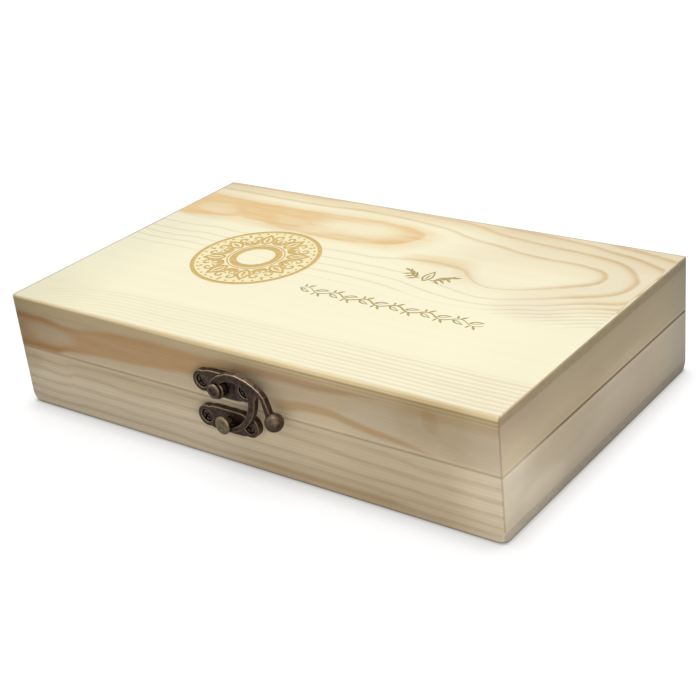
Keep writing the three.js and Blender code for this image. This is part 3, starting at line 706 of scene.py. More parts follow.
def bottom_pine(f):
    over = f.y + f.z
    wobble = f.noise(f.x * 0.012, f.y * 0.03, 21.0, detail=3.0)
    broad = fibre(f, f.x, over, 21.0)[1]
    rings = ring_lines(f, over * 0.11 + wobble * 2.4, 0.07, 0.3)
    base = tuple(settings().wood.front_colour)
    colour = f.tint(f.mix(broad.ease(-0.3, 0.3), base, darker(base, 0.9)), (rings * 0.6, (0.78, 0.72, 0.64)))
    board, relief = front_board(f)
    colour = f.mix(abs(f.normal[1]).ease(0.35, 0.75), colour, board)
    colour = f.mix(abs(f.normal[0]).ease(0.35, 0.75), colour, side_board(f)[0])
    # Painted shade on the lowest 1.2 mm, where the case stands on the floor
    colour = f.tint(colour, (f.z.ease(1.2, 0.1), (0.50, 0.45, 0.42)))
    return f.surface(colour, 0.7, relief, 0.05 * MM, specular=0.2)


def burnt_pine(f):
    ornament = settings().ornament
    mottle = f.noise(f.x, f.y, f.z, scale=0.9, detail=4.0, roughness=0.7)
    grain = f.noise(f.x * 0.03, f.y * 1.2, f.z, detail=3.0)
    beside = (ornament.medallion_x + ornament.medallion_radius) / MM
    burnt = f.mix(f.x.ease(beside + 1, beside + 4), tuple(ornament.burn_colour), tuple(ornament.stem_colour))
    colour = f.tint(burnt, ((mottle + grain).ease(-0.35, 0.45), (0.78, 0.76, 0.72)))
    return f.surface(colour, 0.85, mottle, 0.08 * MM, specular=0.1)


# Metal and foam

def aged_metal(f, dark, amount, cool, warm):
    """Dark metal, cooler and warmer in clouds, with patina and painted shade in its hollows and where it meets
    other parts, and rubbed bright with a painted highlight on its upper edges.
    """
    bright = tuple(settings().metal.wear_and_highlight)
    cloud = f.noise(f.x, f.y, f.z, scale=0.55, detail=5.0, roughness=0.65)
    grit = f.noise(f.x, f.y, f.z, scale=3.2, detail=4.0, roughness=0.7)
    # Edge wear, brightened on upward faces as a painted highlight
    wear_and_highlight = f.stored("rubbed") * (grit * 1.6 + 0.75) * (f.normal[2].ease(0.15, 0.8) * 0.9 + 0.80)
    wear_and_highlight = f.math("MULTIPLY", f.most(wear_and_highlight, 0.0), amount, clamp=True)
    cool, warm = (tuple(c * k for c, k in zip(dark, shift)) for shift in (cool, warm))
    halfway = tuple(0.5 * (a + b) for a, b in zip(dark, bright))
    colour = f.mix(cloud.ease(-0.18, 0.22), cool, warm)
    colour = f.mix(grit.ease(0.08, 0.3) * 0.35, colour, halfway)
    # Darker where other surfaces stand within 1.5 mm: patina in the hollows, painted shade against the wood and
    # other parts
    colour = f.tint(colour, (f.occlusion(1.5 * MM, 6).ease(0.90, 0.40), (0.22, 0.19, 0.18)))
    colour = f.mix(wear_and_highlight, colour, bright)
    roughness = cloud * 0.3 + 0.42 - wear_and_highlight * 0.14
    return f.surface(colour, roughness, grit * 0.6 + cloud, 0.12 * MM, metallic=0.9)


def bronze(f):
    return aged_metal(f, tuple(settings().metal.bronze), 1.25, (0.52, 0.45, 0.60), (1.90, 1.53, 1.38))


def worn_brass(f):
    return aged_metal(f, tuple(settings().metal.brass), 0.8, (0.50, 0.49, 0.55), (1.52, 1.45, 1.22))


def lining_foam(f):
    foam = tuple(settings().lining.foam)
    pores = f.noise(f.x, f.y, f.z, scale=2.4, detail=3.0, roughness=0.8)
    cloud = f.noise(f.x, f.y, f.z, scale=0.06)
    colour = f.mix((pores + cloud).ease(-0.3, 0.4), foam, darker(foam, 1.9))
    f.shader.inputs["Sheen Weight"].default_value = 0.25
    f.shader.inputs["Sheen Roughness"].default_value = 0.5
    return f.surface(colour, 0.9, pores, 0.25 * MM, specular=0.2)


MAKERS = {
    "pine_top": ("Lid top pine", lid_top_pine), "pine_burnt": ("Burnt pine", burnt_pine),
    "pine_bottom": ("Bottom pine", bottom_pine), "pine_front": ("Front pine", front_pine),
    "pine_side": ("Side pine", side_pine), "lining_foam": ("Lining foam", lining_foam),
    "antique_bronze": ("Antique bronze", bronze), "worn_brass": ("Worn brass", worn_brass),
}
MATERIALS = {}


def material(slot):
    """The slot's material, made the first time that it is asked for."""
    if slot not in MATERIALS:
        name, make = MAKERS[slot]
        MATERIALS[slot] = make(Finish(name))
    return MATERIALS[slot]


# Meshes

def place_piece(name, mesh, body, slot, node, sharp=35, more=()):
    """An object of that mesh in the node's place, smooth but for its sharp edges, riding on its body."""
    mesh.polygons.foreach_set("use_smooth", [True] * len(mesh.polygons))
    mesh.set_sharp_from_angle(angle=math.radians(sharp))
    for each in (slot, *more):
        mesh.materials.append(material(each))
    piece = scene_object(name, mesh)
    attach(piece, body)
    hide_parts(node)
    return piece


def scene_object(name, data):
    made = bpy.data.objects.new(name, data)
    bpy.context.scene.collection.objects.link(made)
    return made


def mesh_from(name, vertices, faces, slots=None):
    mesh = bpy.data.meshes.new(name)
    mesh.from_pydata([tuple(v) for v in vertices], [], faces)
    if slots:
        mesh.polygons.foreach_set("material_index", slots)
    mesh.validate()
    mesh.update()
    return mesh


def weld(mesh, distance=1e-7):
    work = bmesh.new()
    work.from_mesh(mesh)
    bmesh.ops.remove_doubles(work, verts=work.verts, dist=distance)
    bmesh.ops.recalc_face_normals(work, faces=work.faces)
    work.to_mesh(mesh)
    work.free()
    return mesh


def joined(shells, name="shells", distance=1e-9):
    """One mesh that holds the vertices and faces of all the shells."""
    vertices, faces = [], []
    for shell_vertices, shell_faces in shells:
        start = len(vertices)
        vertices += shell_vertices
        faces += [tuple(start + i for i in face) for face in shell_faces]
    return weld(mesh_from(name, vertices, faces), distance)


def evaluated(piece, helpers):
    """The mesh that the piece's modifiers make, with the piece and its helpers taken away."""
    mesh = bpy.data.meshes.new_from_object(piece.evaluated_get(bpy.context.evaluated_depsgraph_get()))
    for spent in (piece, *helpers):
        bpy.data.objects.remove(spent)
    return mesh


def cut_away(piece, shells):
    """Cuts the shells out of the piece. Gives the helper object that does it."""
    cutter = scene_object("cutter", joined(shells))
    cut = piece.modifiers.new("Cut", "BOOLEAN")
    cut.operation, cut.object, cut.solver = "DIFFERENCE", cutter, "EXACT"
    return cutter


def level_ring(z, corner, ends=0.0, front=(0.0, 0.0), back=0.0, steps=6):
    """A rounded rectangle of the plan at height z, taken in at its ends, its front's ends and its back."""
    points = []
    left, right = LEFT_X + ends + corner, RIGHT_X - ends - corner
    near_left, near_right = (FRONT_Y + inset + corner for inset in front)
    far = BACK_Y - back - corner
    for quarter, (x, y) in enumerate(((right, far), (left, far), (left, near_left), (right, near_right))):
        for step in range(steps + 1):
            points.append(Vector((*polar(x, y, corner, math.pi / 2 * (quarter + step / steps)), z)))
    return points


def rounding(radius, depth):
    """How far an edge of that radius is taken in at a depth below its face."""
    return radius - math.sqrt(radius ** 2 - max(radius - depth, 0.0) ** 2)


def loft(rings, cap_first=True, cap_last=True):
    """Vertices and faces of rings of equal count, joined in order."""
    count = len(rings[0])
    vertices = [p for ring in rings for p in ring]
    faces = []
    for level in range(len(rings) - 1):
        for i in range(count):
            a, b = level * count + i, level * count + (i + 1) % count
            faces.append((a, b, b + count, a + count))
    if cap_first:
        faces.append(tuple(reversed(range(count))))
    if cap_last:
        faces.append(tuple((len(rings) - 1) * count + i for i in range(count)))
    return vertices, faces


def prism(outline, front, back):
    """An outline in X and Z between two depths in Y, all in metres."""
    return loft([[Vector((x, y, z)) for x, z in outline] for y in (front, back)])


def turned(profile, centre, sides=48):
    """A profile of [radius, y] about the line through centre along Y."""
    return loft([[Vector((x, centre[1] + y, z)) for x, z in circle(centre[0], centre[2], radius, sides)]
                 for radius, y in profile])


def rod(radius, start, end, centre, softened=0.0, sides=48):
    """A plain round rod about the line through centre along Y, its edges rounded by softened."""
    profile = [(0, start), (radius, start), (radius, end), (0, end)]
    return turned(round_profile(profile, softened) if softened else profile, centre, sides)


def aside(shell, spot):
    """A shell made about Y at the origin, laid along X at the spot."""
    turn = Matrix.Rotation(-math.pi / 2, 3, "Z")
    return [turn @ v + Vector(spot) for v in shell[0]], shell[1]


def round_profile(points, radius, steps=4):
    """A profile whose inner corners are rounded by up to the radius."""
    made = [points[0]]
    for before, here, after in zip(points, points[1:], points[2:]):
        a, b, c = Vector(before), Vector(here), Vector(after)
        cut = min(radius, (a - b).length / 2.01, (c - b).length / 2.01)
        start, end = b + (a - b).normalized() * cut, b + (c - b).normalized() * cut
        for step in range(steps + 1):
            t = step / steps
            made.append(tuple(start * (1 - t) ** 2 + b * 2 * t * (1 - t) + end * t ** 2))
    made.append(points[-1])
    return made


def smooth_outline(points, steps):
    """A closed curve through the points."""
    made = []
    for i in range(len(points)):
        p0, p1, p2, p3 = (Vector(points[(i + k - 1) % len(points)]) for k in range(4))
        for step in range(steps):
            t = step / steps
            made.append(tuple(0.5 * (2 * p1 + (p2 - p0) * t + (2 * p0 - 5 * p1 + 4 * p2 - p3) * t ** 2
                                     + (3 * p1 - p0 - 3 * p2 + p3) * t ** 3)))
    return made


def polar(x, y, radius, turn):
    return x + radius * math.cos(turn), y + radius * math.sin(turn)


def circle(x, y, radius, sides=48):
    return [polar(x, y, radius, 2 * math.pi * i / sides) for i in range(sides)]


def rub_edges(mesh, gain, passes=1):
    """Marks how far each point stands out from its neighbours, so that the finish can wear there and take a
    painted highlight.
    """
    count = len(mesh.vertices)
    near = [[] for _ in range(count)]
    for edge in mesh.edges:
        a, b = edge.vertices
        near[a].append(b)
        near[b].append(a)
    value = []
    for vertex in mesh.vertices:
        spread = 0.0
        for other in near[vertex.index]:
            step = mesh.vertices[other].co - vertex.co
            spread -= step.dot(vertex.normal) / max(step.length, 1e-9)
        value.append(spread / max(len(near[vertex.index]), 1))
    for _ in range(passes):
        value = [(value[i] + sum(value[j] for j in near[i])) / (1 + len(near[i])) for i in range(count)]
    layer = mesh.attributes.new("rubbed", "FLOAT", "POINT")
    layer.data.foreach_set("value", [min(max(v * gain, 0.0), 1.0) for v in value])
    return mesh


# How strongly the castings and the turned or cut pieces wear, and take a painted highlight, at their edges
CASTING_WEAR_AND_HIGHLIGHT, STUD_WEAR_AND_HIGHLIGHT, SCREW_WEAR_AND_HIGHLIGHT, PIN_WEAR_AND_HIGHLIGHT = 3.0, 2.5, 1.4, 2.0


def cast(name, solids, cuts, soften):
    """Joins closed shells as a casting does: on a fine grid, with its cuts, and softened at the edges."""
    piece = scene_object(name, joined(solids))

    def regrid():
        grid = piece.modifiers.new("Grid", "REMESH")
        grid.mode, grid.voxel_size = "VOXEL", settings().metal.voxel

    regrid()
    cutter = cut_away(piece, cuts)
    regrid()
    smooth = piece.modifiers.new("Soften", "SMOOTH")
    smooth.factor, smooth.iterations = 0.5, soften
    mesh = evaluated(piece, [cutter])
    mesh.name = name
    return rub_edges(mesh, CASTING_WEAR_AND_HIGHLIGHT, 2)


# Ornament: outlines in millimetres, each either cut or kept, the later ones lying over the earlier

# The radius that the medallion's sizes are written for
MEDALLION_DRAWN = 28.8


def band(x, y, outer, inner, sides):
    return [(circle(x, y, outer, sides), True), (circle(x, y, inner, sides), False)]


def leaf(x, y, length, width, turn, steps=9, lean=0.0):
    """A pointed leaf from its stalk end, leaning to one side."""
    side_a, side_b = [], []
    for step in range(steps + 1):
        t = step / steps
        half = width / 2 * math.sin(math.pi * t ** 0.8)
        bend = lean * math.sin(math.pi * t)
        side_a.append((length * t, bend + half))
        side_b.append((length * t, bend - half))
    c, s = math.cos(turn), math.sin(turn)
    return [(x + px * c - py * s, y + px * s + py * c) for px, py in side_b + side_a[-2:0:-1]]


def stroke(path, half):
    """An outline round a path, fading to points at both ends."""
    left, right = [], []
    last = len(path) - 1
    for i, (x, y) in enumerate(path):
        a, b = path[max(i - 1, 0)], path[min(i + 1, last)]
        dx, dy = b[0] - a[0], b[1] - a[1]
        width = half * min(1.0, 0.35 + 2.2 * min(i, last - i) / last) / math.hypot(dx, dy)
        left.append((x - dy * width, y + dx * width))
        right.append((x + dy * width, y - dx * width))
    return right + left[::-1]


def scroll(x, y, radius, start, turns, mirror, steps=26):
    """A spiral path that opens outwards from its eye."""
    shares = [i / steps for i in range(steps + 1)]
    return [polar(x, y, radius * (0.16 + 0.84 * t), start + mirror * 2 * math.pi * turns * t) for t in shares]


def medallion_outlines(x, y, radius):
    """A round ornament: an open middle, eight leaves, scrolls between them and a beaded rim."""
    r = radius / MEDALLION_DRAWN
    beads, leaves = 40, 8

    def at(out, turn):
        return polar(x, y, out * r, turn)

    outlines = band(x, y, MEDALLION_DRAWN * r, 26.9 * r, 96)
    outlines += band(x, y, 12.9 * r, 12.3 * r, 72) + band(x, y, 11.6 * r, 8.5 * r, 72)
    outlines += [(circle(*at(25.5, 2 * math.pi * i / beads), 0.62 * r, 9), True) for i in range(beads)]
    for i in range(leaves):
        a, b = 2 * math.pi * (i + 0.5) / leaves, 2 * math.pi * i / leaves
        for out, long, wide, steps, cut in ((13.4, 11.2, 6.6, 12, True), (14.8, 7.8, 4.0, 10, False),
                                            (15.4, 6.0, 1.5, 6, True)):
            outlines.append((leaf(*at(out, a), long * r, wide * r, a, steps), cut))
        for mirror in (-1, 1):
            eye = at(21.2, b + mirror * 0.132)
            outlines.append((stroke(scroll(*eye, 2.85 * r, b + math.pi, 1.15, mirror), 0.52 * r), True))
            turn, lean = b + mirror * 0.58, mirror * 0.7 * r
            outlines.append((leaf(*at(13.8, b), 5.6 * r, 2.5 * r, turn, 7, lean), True))
        outlines.append((circle(*at(24.0, b), 0.8 * r, 10), True))
        outlines.append((leaf(*at(14.4, b), 4.4 * r, 1.8 * r, b, 7), True))
    return outlines


def border_outlines(x, y, length):
    """A running stem with a leaf in every bend, and a bud beside each leaf."""
    waves, swing = 6, 1.7
    pitch = length / waves
    shares = [i / (waves * 16) for i in range(waves * 16 + 1)]
    path = [(x - length / 2 + length * t, y + swing * math.sin(2 * math.pi * waves * t)) for t in shares]
    outlines = [(stroke(path, 0.38), True)]
    for i in range(2 * waves):
        side = 1 if i % 2 == 0 else -1
        foot = x - length / 2 + pitch * (i + 0.12) / 2
        outlines.append((leaf(foot, y + side * 0.1, 6.4, 2.1, -side * 0.36, 9, -side * 0.3), True))
        outlines.append((leaf(foot + 1.1, y - side * 0.3, 4.2, 1.0, -side * 0.36, 6, -side * 0.2), False))
        outlines.append((leaf(foot + pitch * 0.19, y + side * 1.9, 3.4, 1.15, side * 0.85, 7), True))
        outlines.append((leaf(foot + pitch * 0.09, y + side * 1.8, 2.4, 1.0, side * 1.9, 7), True))
    return outlines


def sprig_outlines(x, y, width):
    """Two mirrored leaf sprigs on either side of an open bud."""
    outlines = []
    for side in (-1, 1):
        shares = [i / 14 for i in range(15)]
        stem = [(x + side * (2.6 + (width / 2 - 5.2) * t), y - 2.8 + 5.0 * t ** 1.6) for t in shares]
        outlines.append((stroke(stem, 0.38), True))
        for k in range(3):
            px, py = stem[3 + 4 * k]
            down = -0.55 if side > 0 else math.pi + 0.55
            outlines.append((leaf(px, py + 0.2, 5.4 - 0.5 * k, 1.3, math.pi / 2 - side * 0.55, 8), True))
            outlines.append((leaf(px, py - 0.3, 4.2 - 0.4 * k, 1.1, down, 8), True))
        outlines.append((leaf(*stem[-1], 3.6, 1.2, 0.5 if side > 0 else math.pi - 0.5, 8), True))
    for below, long, wide, steps, cut in ((4.8, 10.4, 4.6, 11, True), (3.6, 7.8, 3.0, 9, False),
                                          (2.4, 4.6, 0.8, 7, True)):
        outlines.append((leaf(x, y - below, long, wide, math.pi / 2, steps), cut))
    return outlines


def filled(points, loops):
    """The triangles inside the first loop of a flat figure, with the list of the loops that hold each one."""
    found = delaunay_2d_cdt(points, [], loops, 1, 1e-8, True)
    return found[0], found[2], found[5]


def engraved_cap(ring, outlines, depth):
    """The flat face inside a ring, with the cut outlines sunk. Gives vertices, faces and slots."""
    z = ring[0].z
    points = [Vector((p.x, p.y)) for p in ring]
    loops = [tuple(range(len(points)))]
    for outline, _ in outlines:
        start = len(points)
        points += [Vector((px * MM, py * MM)) for px, py in outline]
        loops.append(tuple(range(start, len(points))))
    columns, rows, margin = 96, 58, 1.5 * MM
    low, high = Vector((LEFT_X + margin, FRONT_Y + 2 * margin)), Vector((RIGHT_X - margin, BACK_Y - margin))
    points += [Vector((low.x + (high.x - low.x) * i / columns, low.y + (high.y - low.y) * j / rows))
               for i in range(columns + 1) for j in range(rows + 1)]
    flat, triangles, owners = filled(points, loops)
    cut_flags = [False] + [cut for _, cut in outlines]
    sunk = [cut_flags[max(owner)] for owner in owners]
    count = len(flat)
    vertices = [Vector((p.x, p.y, level)) for level in (z, z - depth) for p in flat]
    faces, slots, sides = [], [], {}
    for triangle, low in zip(triangles, sunk):
        faces.append(tuple(i + count if low else i for i in triangle))
        slots.append(1 if low else 0)
        for a, b in zip(triangle, triangle[1:] + triangle[:1]):
            sides.setdefault((min(a, b), max(a, b)), []).append((a, b, low))
    for uses in sides.values():
        if len(uses) == 2 and uses[0][2] != uses[1][2]:
            a, b, _ = uses[0] if uses[0][2] else uses[1]
            faces.append((b, a, a + count, b + count)[::-1])
            slots.append(1)
    return vertices, faces, slots


# Operators: one for each piece or group of like pieces

class COINCASE_OT_lid_top(bpy.types.Operator):
    """Make the lid's top panel, rounded at its edges and engraved with generic leaf ornament"""
    bl_idname = "coin_case.lid_top"
    bl_label = "Lid top"

    steps = 14

    def execute(self, context):
        wood, ornament = settings().wood, settings().ornament
        rings = [level_ring(TOP_LOW[2], wood.corner)]
        for step in range(self.steps + 1):
            drop = wood.front_edge * (1 - step / self.steps) ** 2
            ends, left, right, back = (rounding(edge, drop) for edge in (wood.end_edge, wood.front_edge_left,
                                                                         wood.front_edge, wood.back_edge))
            rings.append(level_ring(TOP_HIGH[2] - drop, wood.corner, ends, (left, right), back))
        vertices, faces = loft(rings, cap_last=False)
        start, slots = len(vertices), [0] * len(faces)
        outlines = []
        for draw, sizes in (
                (medallion_outlines, (ornament.medallion_x, ornament.medallion_y, ornament.medallion_radius)),
                (border_outlines, (ornament.border_x, ornament.border_y, ornament.border_length)),
                (sprig_outlines, (ornament.sprig_x, ornament.sprig_y, ornament.sprig_width))):
            outlines += draw(*(size / MM for size in sizes))
        cap_vertices, cap_faces, cap_slots = engraved_cap(rings[-1], outlines, ornament.depth)
        faces += [tuple(start + i for i in face) for face in cap_faces]
        mesh = weld(mesh_from("lid_top", vertices + cap_vertices, faces, slots + cap_slots))
        mark_rings(mesh)
        place_piece("lid_top", mesh, "lid", "pine_top", "top_panel", more=["pine_burnt"])
        return {"FINISHED"}


class COINCASE_OT_bottom(bpy.types.Operator):
    """Make the bottom panel, whose corners open out toward the underside"""
    bl_idname = "coin_case.bottom"
    bl_label = "Bottom panel"

    steps = 16

    def execute(self, context):
        wood = settings().wood
        rings = []
        for step in range(self.steps + 1):
            rise = (step / self.steps) ** 2
            height = (BOTTOM_HIGH[2] - BOTTOM_LOW[2]) * rise
            ends, front, back = (rounding(edge, height) for edge in (wood.bottom_end, wood.bottom_front,
                                                                     wood.bottom_back))
            corner = wood.corner + (wood.bottom_corner - wood.corner) * (1 - rise) ** 2
            rings.append(level_ring(BOTTOM_LOW[2] + height, corner, ends, (front, front), back))
        mesh = weld(mesh_from("case_bottom", *loft(rings)))
        place_piece("case_bottom", mesh, "base", "pine_bottom", "bottom_panel")
        return {"FINISHED"}


def wall_mesh(name, low, high, seam_at_top, length, depth, quarter_turns):
    """A mitred board along the front, with its seam edge eased, turned to its own side."""
    ease, corner, steps = settings().wood.seam_ease, settings().wood.corner, 4
    seam, far = (high, low) if seam_at_top else (low, high)
    toward = -1 if seam_at_top else 1
    section = [(0.0, far)]
    for step in range(steps):
        turn = math.pi / 2 * step / steps
        section.append((ease * (1 - math.cos(turn)), seam + toward * ease * (1 - math.sin(turn))))
    section += [(ease, seam), (WALL - ease, seam), (WALL - 0.3 * ease, seam + toward * 0.3 * ease),
                (WALL, seam + toward * ease), (WALL, far)]
    stations = []
    for step in range(steps, -1, -1):
        turn = math.pi / 4 * step / steps
        stations.append((corner * (1 - math.sin(turn)), corner * (1 - math.cos(turn))))
    mitre = stations[0][0]
    rings = []
    for side in (-1, 1):
        for along, inward in stations[::-side]:
            ring = []
            for inset, z in section:
                if inset <= ease:
                    reach = length / 2 - along - inset * (1 if along <= mitre + 1e-9 else 0.6)
                    ring.append(Vector((side * reach, inset + inward - depth / 2, z)))
                else:
                    reach = length / 2 - (WALL + along - mitre) * inset / WALL
                    ring.append(Vector((side * reach, inset - depth / 2, z)))
            rings.append(ring)
    vertices, faces = loft(rings)
    turn = Matrix.Rotation(math.pi / 2 * quarter_turns, 3, "Z")
    return weld(mesh_from(name, [turn @ v for v in vertices], faces))


class COINCASE_OT_walls(bpy.types.Operator):
    """Make the eight mitred wall boards of the base and the lid"""
    bl_idname = "coin_case.walls"
    bl_label = "Walls"

    def execute(self, context):
        width, depth = RIGHT_X - LEFT_X, BACK_Y - FRONT_Y
        sizes = {"pine_front": (width, depth), "pine_side": (depth, width)}
        halves = {"base": (BOTTOM_HIGH[2], SEAM_Z, True), "lid": (SEAM_Z, TOP_LOW[2], False)}
        for body, (low, high, seam_at_top) in halves.items():
            for turns, side in enumerate(("front", "right", "back", "left")):
                slot = "pine_front" if side in ("front", "back") else "pine_side"
                mesh = wall_mesh(f"{body}_{side}_board", low, high, seam_at_top, *sizes[slot], turns)
                place_piece(f"{body}_{side}_board", mesh, body, slot, f"{body}_{side}_wall", 25)
        return {"FINISHED"}


class COINCASE_OT_lining(bpy.types.Operator):
    """Make the foam tray with its wells, the sheet under them and the pad in the lid"""
    bl_idname = "coin_case.lining"
    bl_label = "Lining"

    def execute(self, context):
        self.tray(settings().lining.well, settings().lining.rim)
        self.slab("tray_floor_sheet", "tray_floor", "base", 0.2 * MM, False)
        pad = self.slab("lid_foam_pad", "lid_pad", "lid", 1.6 * MM, True)
        return {"FINISHED"}

    def tray(self, well, rim, sides=64):
        low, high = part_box("coin_tray")
        openings = frame["record"]["physics"]["openings"]
        boxes = [opening["box_m"] for opening in openings if opening["name"].startswith("coin_well")]
        wells = [((a[0] + b[0]) / 2, (a[1] + b[1]) / 2) for a, b in boxes]
        corners = [(low[0], low[1]), (high[0], low[1]), (high[0], high[1]), (low[0], high[1])]
        shells = []
        for z, mouth in ((high[2], well + rim), (low[2], well)):
            outlines = [corners] + [circle(x, y, mouth, sides) for x, y in wells]
            points = [Vector(point) for outline in outlines for point in outline]
            starts = range(4, len(points), sides)
            loops = [tuple(range(4))] + [tuple(range(start, start + sides)) for start in starts]
            flat, triangles, owners = filled(points, loops)
            kept = [triangle for triangle, owner in zip(triangles, owners) if max(owner) == 0]
            shells.append(([Vector((p.x, p.y, z)) for p in flat], kept))
        outer = [[Vector((x, y, z)) for x, y in corners] for z in (low[2], high[2])]
        shells.append(loft(outer, False, False))
        levels = [(well, low[2])]
        for step in range(6):
            turn = math.pi / 2 * step / 5
            levels.append((well + rim * (1 - math.cos(turn)), high[2] - rim * (1 - math.sin(turn))))
        for x, y in wells:
            rings = [[Vector((*spot, z)) for spot in circle(x, y, radius, sides)] for radius, z in levels]
            shells.append(loft(rings, False, False))
        mesh = joined(shells, "coin_tray_foam", 1e-6)
        place_piece("coin_tray_foam", mesh, "base", "lining_foam", "coin_tray", 50)

    def slab(self, name, node, body, edge, crowned):
        """A sheet or pad: a closed form whose free face is rounded at its edges and slightly crowned."""
        low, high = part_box(node)
        free_z, held_z = (low[2], high[2]) if crowned else (high[2], low[2])
        toward = 1 if crowned else -1
        columns, rows = 64, 40
        swell, swell_reach = 0.5 * MM, 22 * MM
        row = columns + 1
        vertices, faces = [], []
        for j in range(rows + 1):
            for i in range(row):
                u, v = (0.5 - 0.5 * math.cos(math.pi * share) for share in (i / columns, j / rows))
                x, y = low[0] + (high[0] - low[0]) * u, low[1] + (high[1] - low[1]) * v
                margin = min(x - low[0], high[0] - x, y - low[1], high[1] - y)
                inset = edge * (1 - math.sqrt(max(0.0, 1 - (1 - min(margin / edge, 1.0)) ** 2)))
                if crowned:
                    inset += swell * (1 - min(margin / swell_reach, 1.0)) ** 2
                vertices.append(Vector((x, y, free_z + toward * inset)))
        for a in (j * row + i for j in range(rows) for i in range(columns)):
            faces.append((a, a + 1, a + 1 + row, a + row))
        rim = list(range(row)) + [columns + row * j for j in range(1, rows + 1)]
        rim += [rows * row + i for i in range(columns - 1, -1, -1)]
        rim += [row * j for j in range(rows - 1, 0, -1)]
        start, count = len(vertices), len(rim)
        vertices += [Vector((vertices[i].x, vertices[i].y, held_z)) for i in rim]
        for i in range(count):
            n = (i + 1) % count
            faces.append((rim[i], rim[n], start + n, start + i))
        faces.append(tuple(start + i for i in range(count)))
        return place_piece(name, weld(mesh_from(name, vertices, faces)), body, "lining_foam", node, 50)


def node_middle(node):
    low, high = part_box(node)
    return [(a + b) / 2 for a, b in zip(low, high)]


class COINCASE_OT_plates(bpy.types.Operator):
    """Make the two cast plates of the latch, with a seat sunk for each screw"""
    bl_idname = "coin_case.plates"
    bl_label = "Latch plates"

    # The upper right quarter of the plate's body, as shares of its half length and half height
    body_shares = [(0.0, 0.97), (0.28, 0.97), (0.5, 0.93), (0.64, 0.80), (0.74, 0.66)]
    lobe, lobe_crown, lobe_step = 4.55 * MM, 0.93, 0.4 * MM
    lobe_back, body_back = 0.05 * MM, 0.12 * MM
    # Radii of a screw's seat at its mouth and floor, of its hole and of the stud's hole, and the cuts' ends
    mouth, floor, hole, bore = 3.05 * MM, 2.65 * MM, 1.35 * MM, 1.75 * MM
    seat_depth, cut_start, cut_end = 1.25 * MM, -2 * MM, 6 * MM

    def execute(self, context):
        for prefix, body, stud in (("catch", "base", "catch_post"), ("latch", "lid", "hook_rivet")):
            node = f"{prefix}_plate"
            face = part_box(node)[0][1]
            solids, cuts = [self.body(node)], []
            for screw in (f"{prefix}_screw_left", f"{prefix}_screw_right"):
                x, _, z = node_middle(screw)
                solids.append(prism(circle(x, z, self.lobe), face + self.lobe_back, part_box(node)[1][1]))
                solids.append(rod(self.lobe_crown * self.lobe, 0, self.lobe_step, (x, face, z)))
                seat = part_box(screw)[0][1] + self.seat_depth - face
                cuts.append(turned([(0, self.cut_start), (self.mouth, self.cut_start), (self.floor, seat),
                                    (self.hole, seat), (self.hole, self.cut_end), (0, self.cut_end)],
                                   (x, face, z)))
            x, _, z = node_middle(stud)
            cuts.append(rod(self.bore, self.cut_start, self.cut_end, (x, face, z)))
            mesh = cast(f"{node}_casting", solids, cuts, 4)
            place_piece(f"{node}_casting", mesh, body, "antique_bronze", node, 80)
        return {"FINISHED"}

    def body(self, node):
        low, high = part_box(node)
        x, _, z = node_middle(node)
        half_x, half_z = (high[0] - low[0]) / 2, (high[2] - low[2]) / 2
        quarter = [(sx * half_x, sz * half_z) for sx, sz in self.body_shares]
        upper = [(-dx, dz) for dx, dz in quarter[::-1]] + quarter
        around = upper + [(dx, -dz) for dx, dz in upper[::-1]]
        outline = smooth_outline([(x + dx, z + dz) for dx, dz in around], 4)
        return prism(outline, low[1] + self.body_back, high[1])


class COINCASE_OT_post_and_rivet(bpy.types.Operator):
    """Turn the mushroom post of the catch and the rivet that the hook swings on"""
    bl_idname = "coin_case.post_and_rivet"
    bl_label = "Post and rivet"

    # Each head as shares of its radius and depths in millimetres, then its neck
    post_head = [(0, 0), (0.55, 0.12), (0.86, 0.42), (1, 0.95), (1, 1.55), (0.94, 1.88)]
    post_neck = (1.75, 1.9)
    rivet_head = [(0, 0.42), (0.50, 0.40), (0.60, 0.02), (0.80, 0.05), (0.97, 0.5), (1, 1.28)]
    rivet_neck = (1.7, 1.3)
    sides = 56
    # The tail behind the plate, in millimetres from the wood's face
    tail = [(1.5, -3.0), (1.5, 0), (2.35, 0), (2.35, 1.0), (0, 1.0)]

    def execute(self, context):
        self.stud("catch_post", self.post_head, self.post_neck, 0.3 * MM, "base", "worn_brass")
        self.stud("hook_rivet", self.rivet_head, self.rivet_neck, 0.22 * MM, "lid", "antique_bronze")
        return {"FINISHED"}

    def stud(self, node, head, neck, softened, body, slot):
        low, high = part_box(node)
        x, _, z = node_middle(node)
        radius = (high[2] - low[2]) / 2
        oval = (high[0] - low[0]) / (high[2] - low[2])
        face = low[1] - FRONT_Y
        profile = [(radius * share, face + depth * MM) for share, depth in head]
        profile += [(neck[0] * MM, face + neck[1] * MM), (neck[0] * MM, self.tail[0][1] * MM)]
        profile += [(r * MM, y * MM) for r, y in self.tail]
        vertices, faces = turned(round_profile(profile, softened), (x, FRONT_Y, z), self.sides)
        for vertex in vertices:
            vertex.x = x + (vertex.x - x) * oval
        mesh = rub_edges(weld(mesh_from(f"{node}_turned", vertices, faces), 1e-8), STUD_WEAR_AND_HIGHLIGHT)
        place_piece(f"{node}_turned", mesh, body, slot, node, 50)


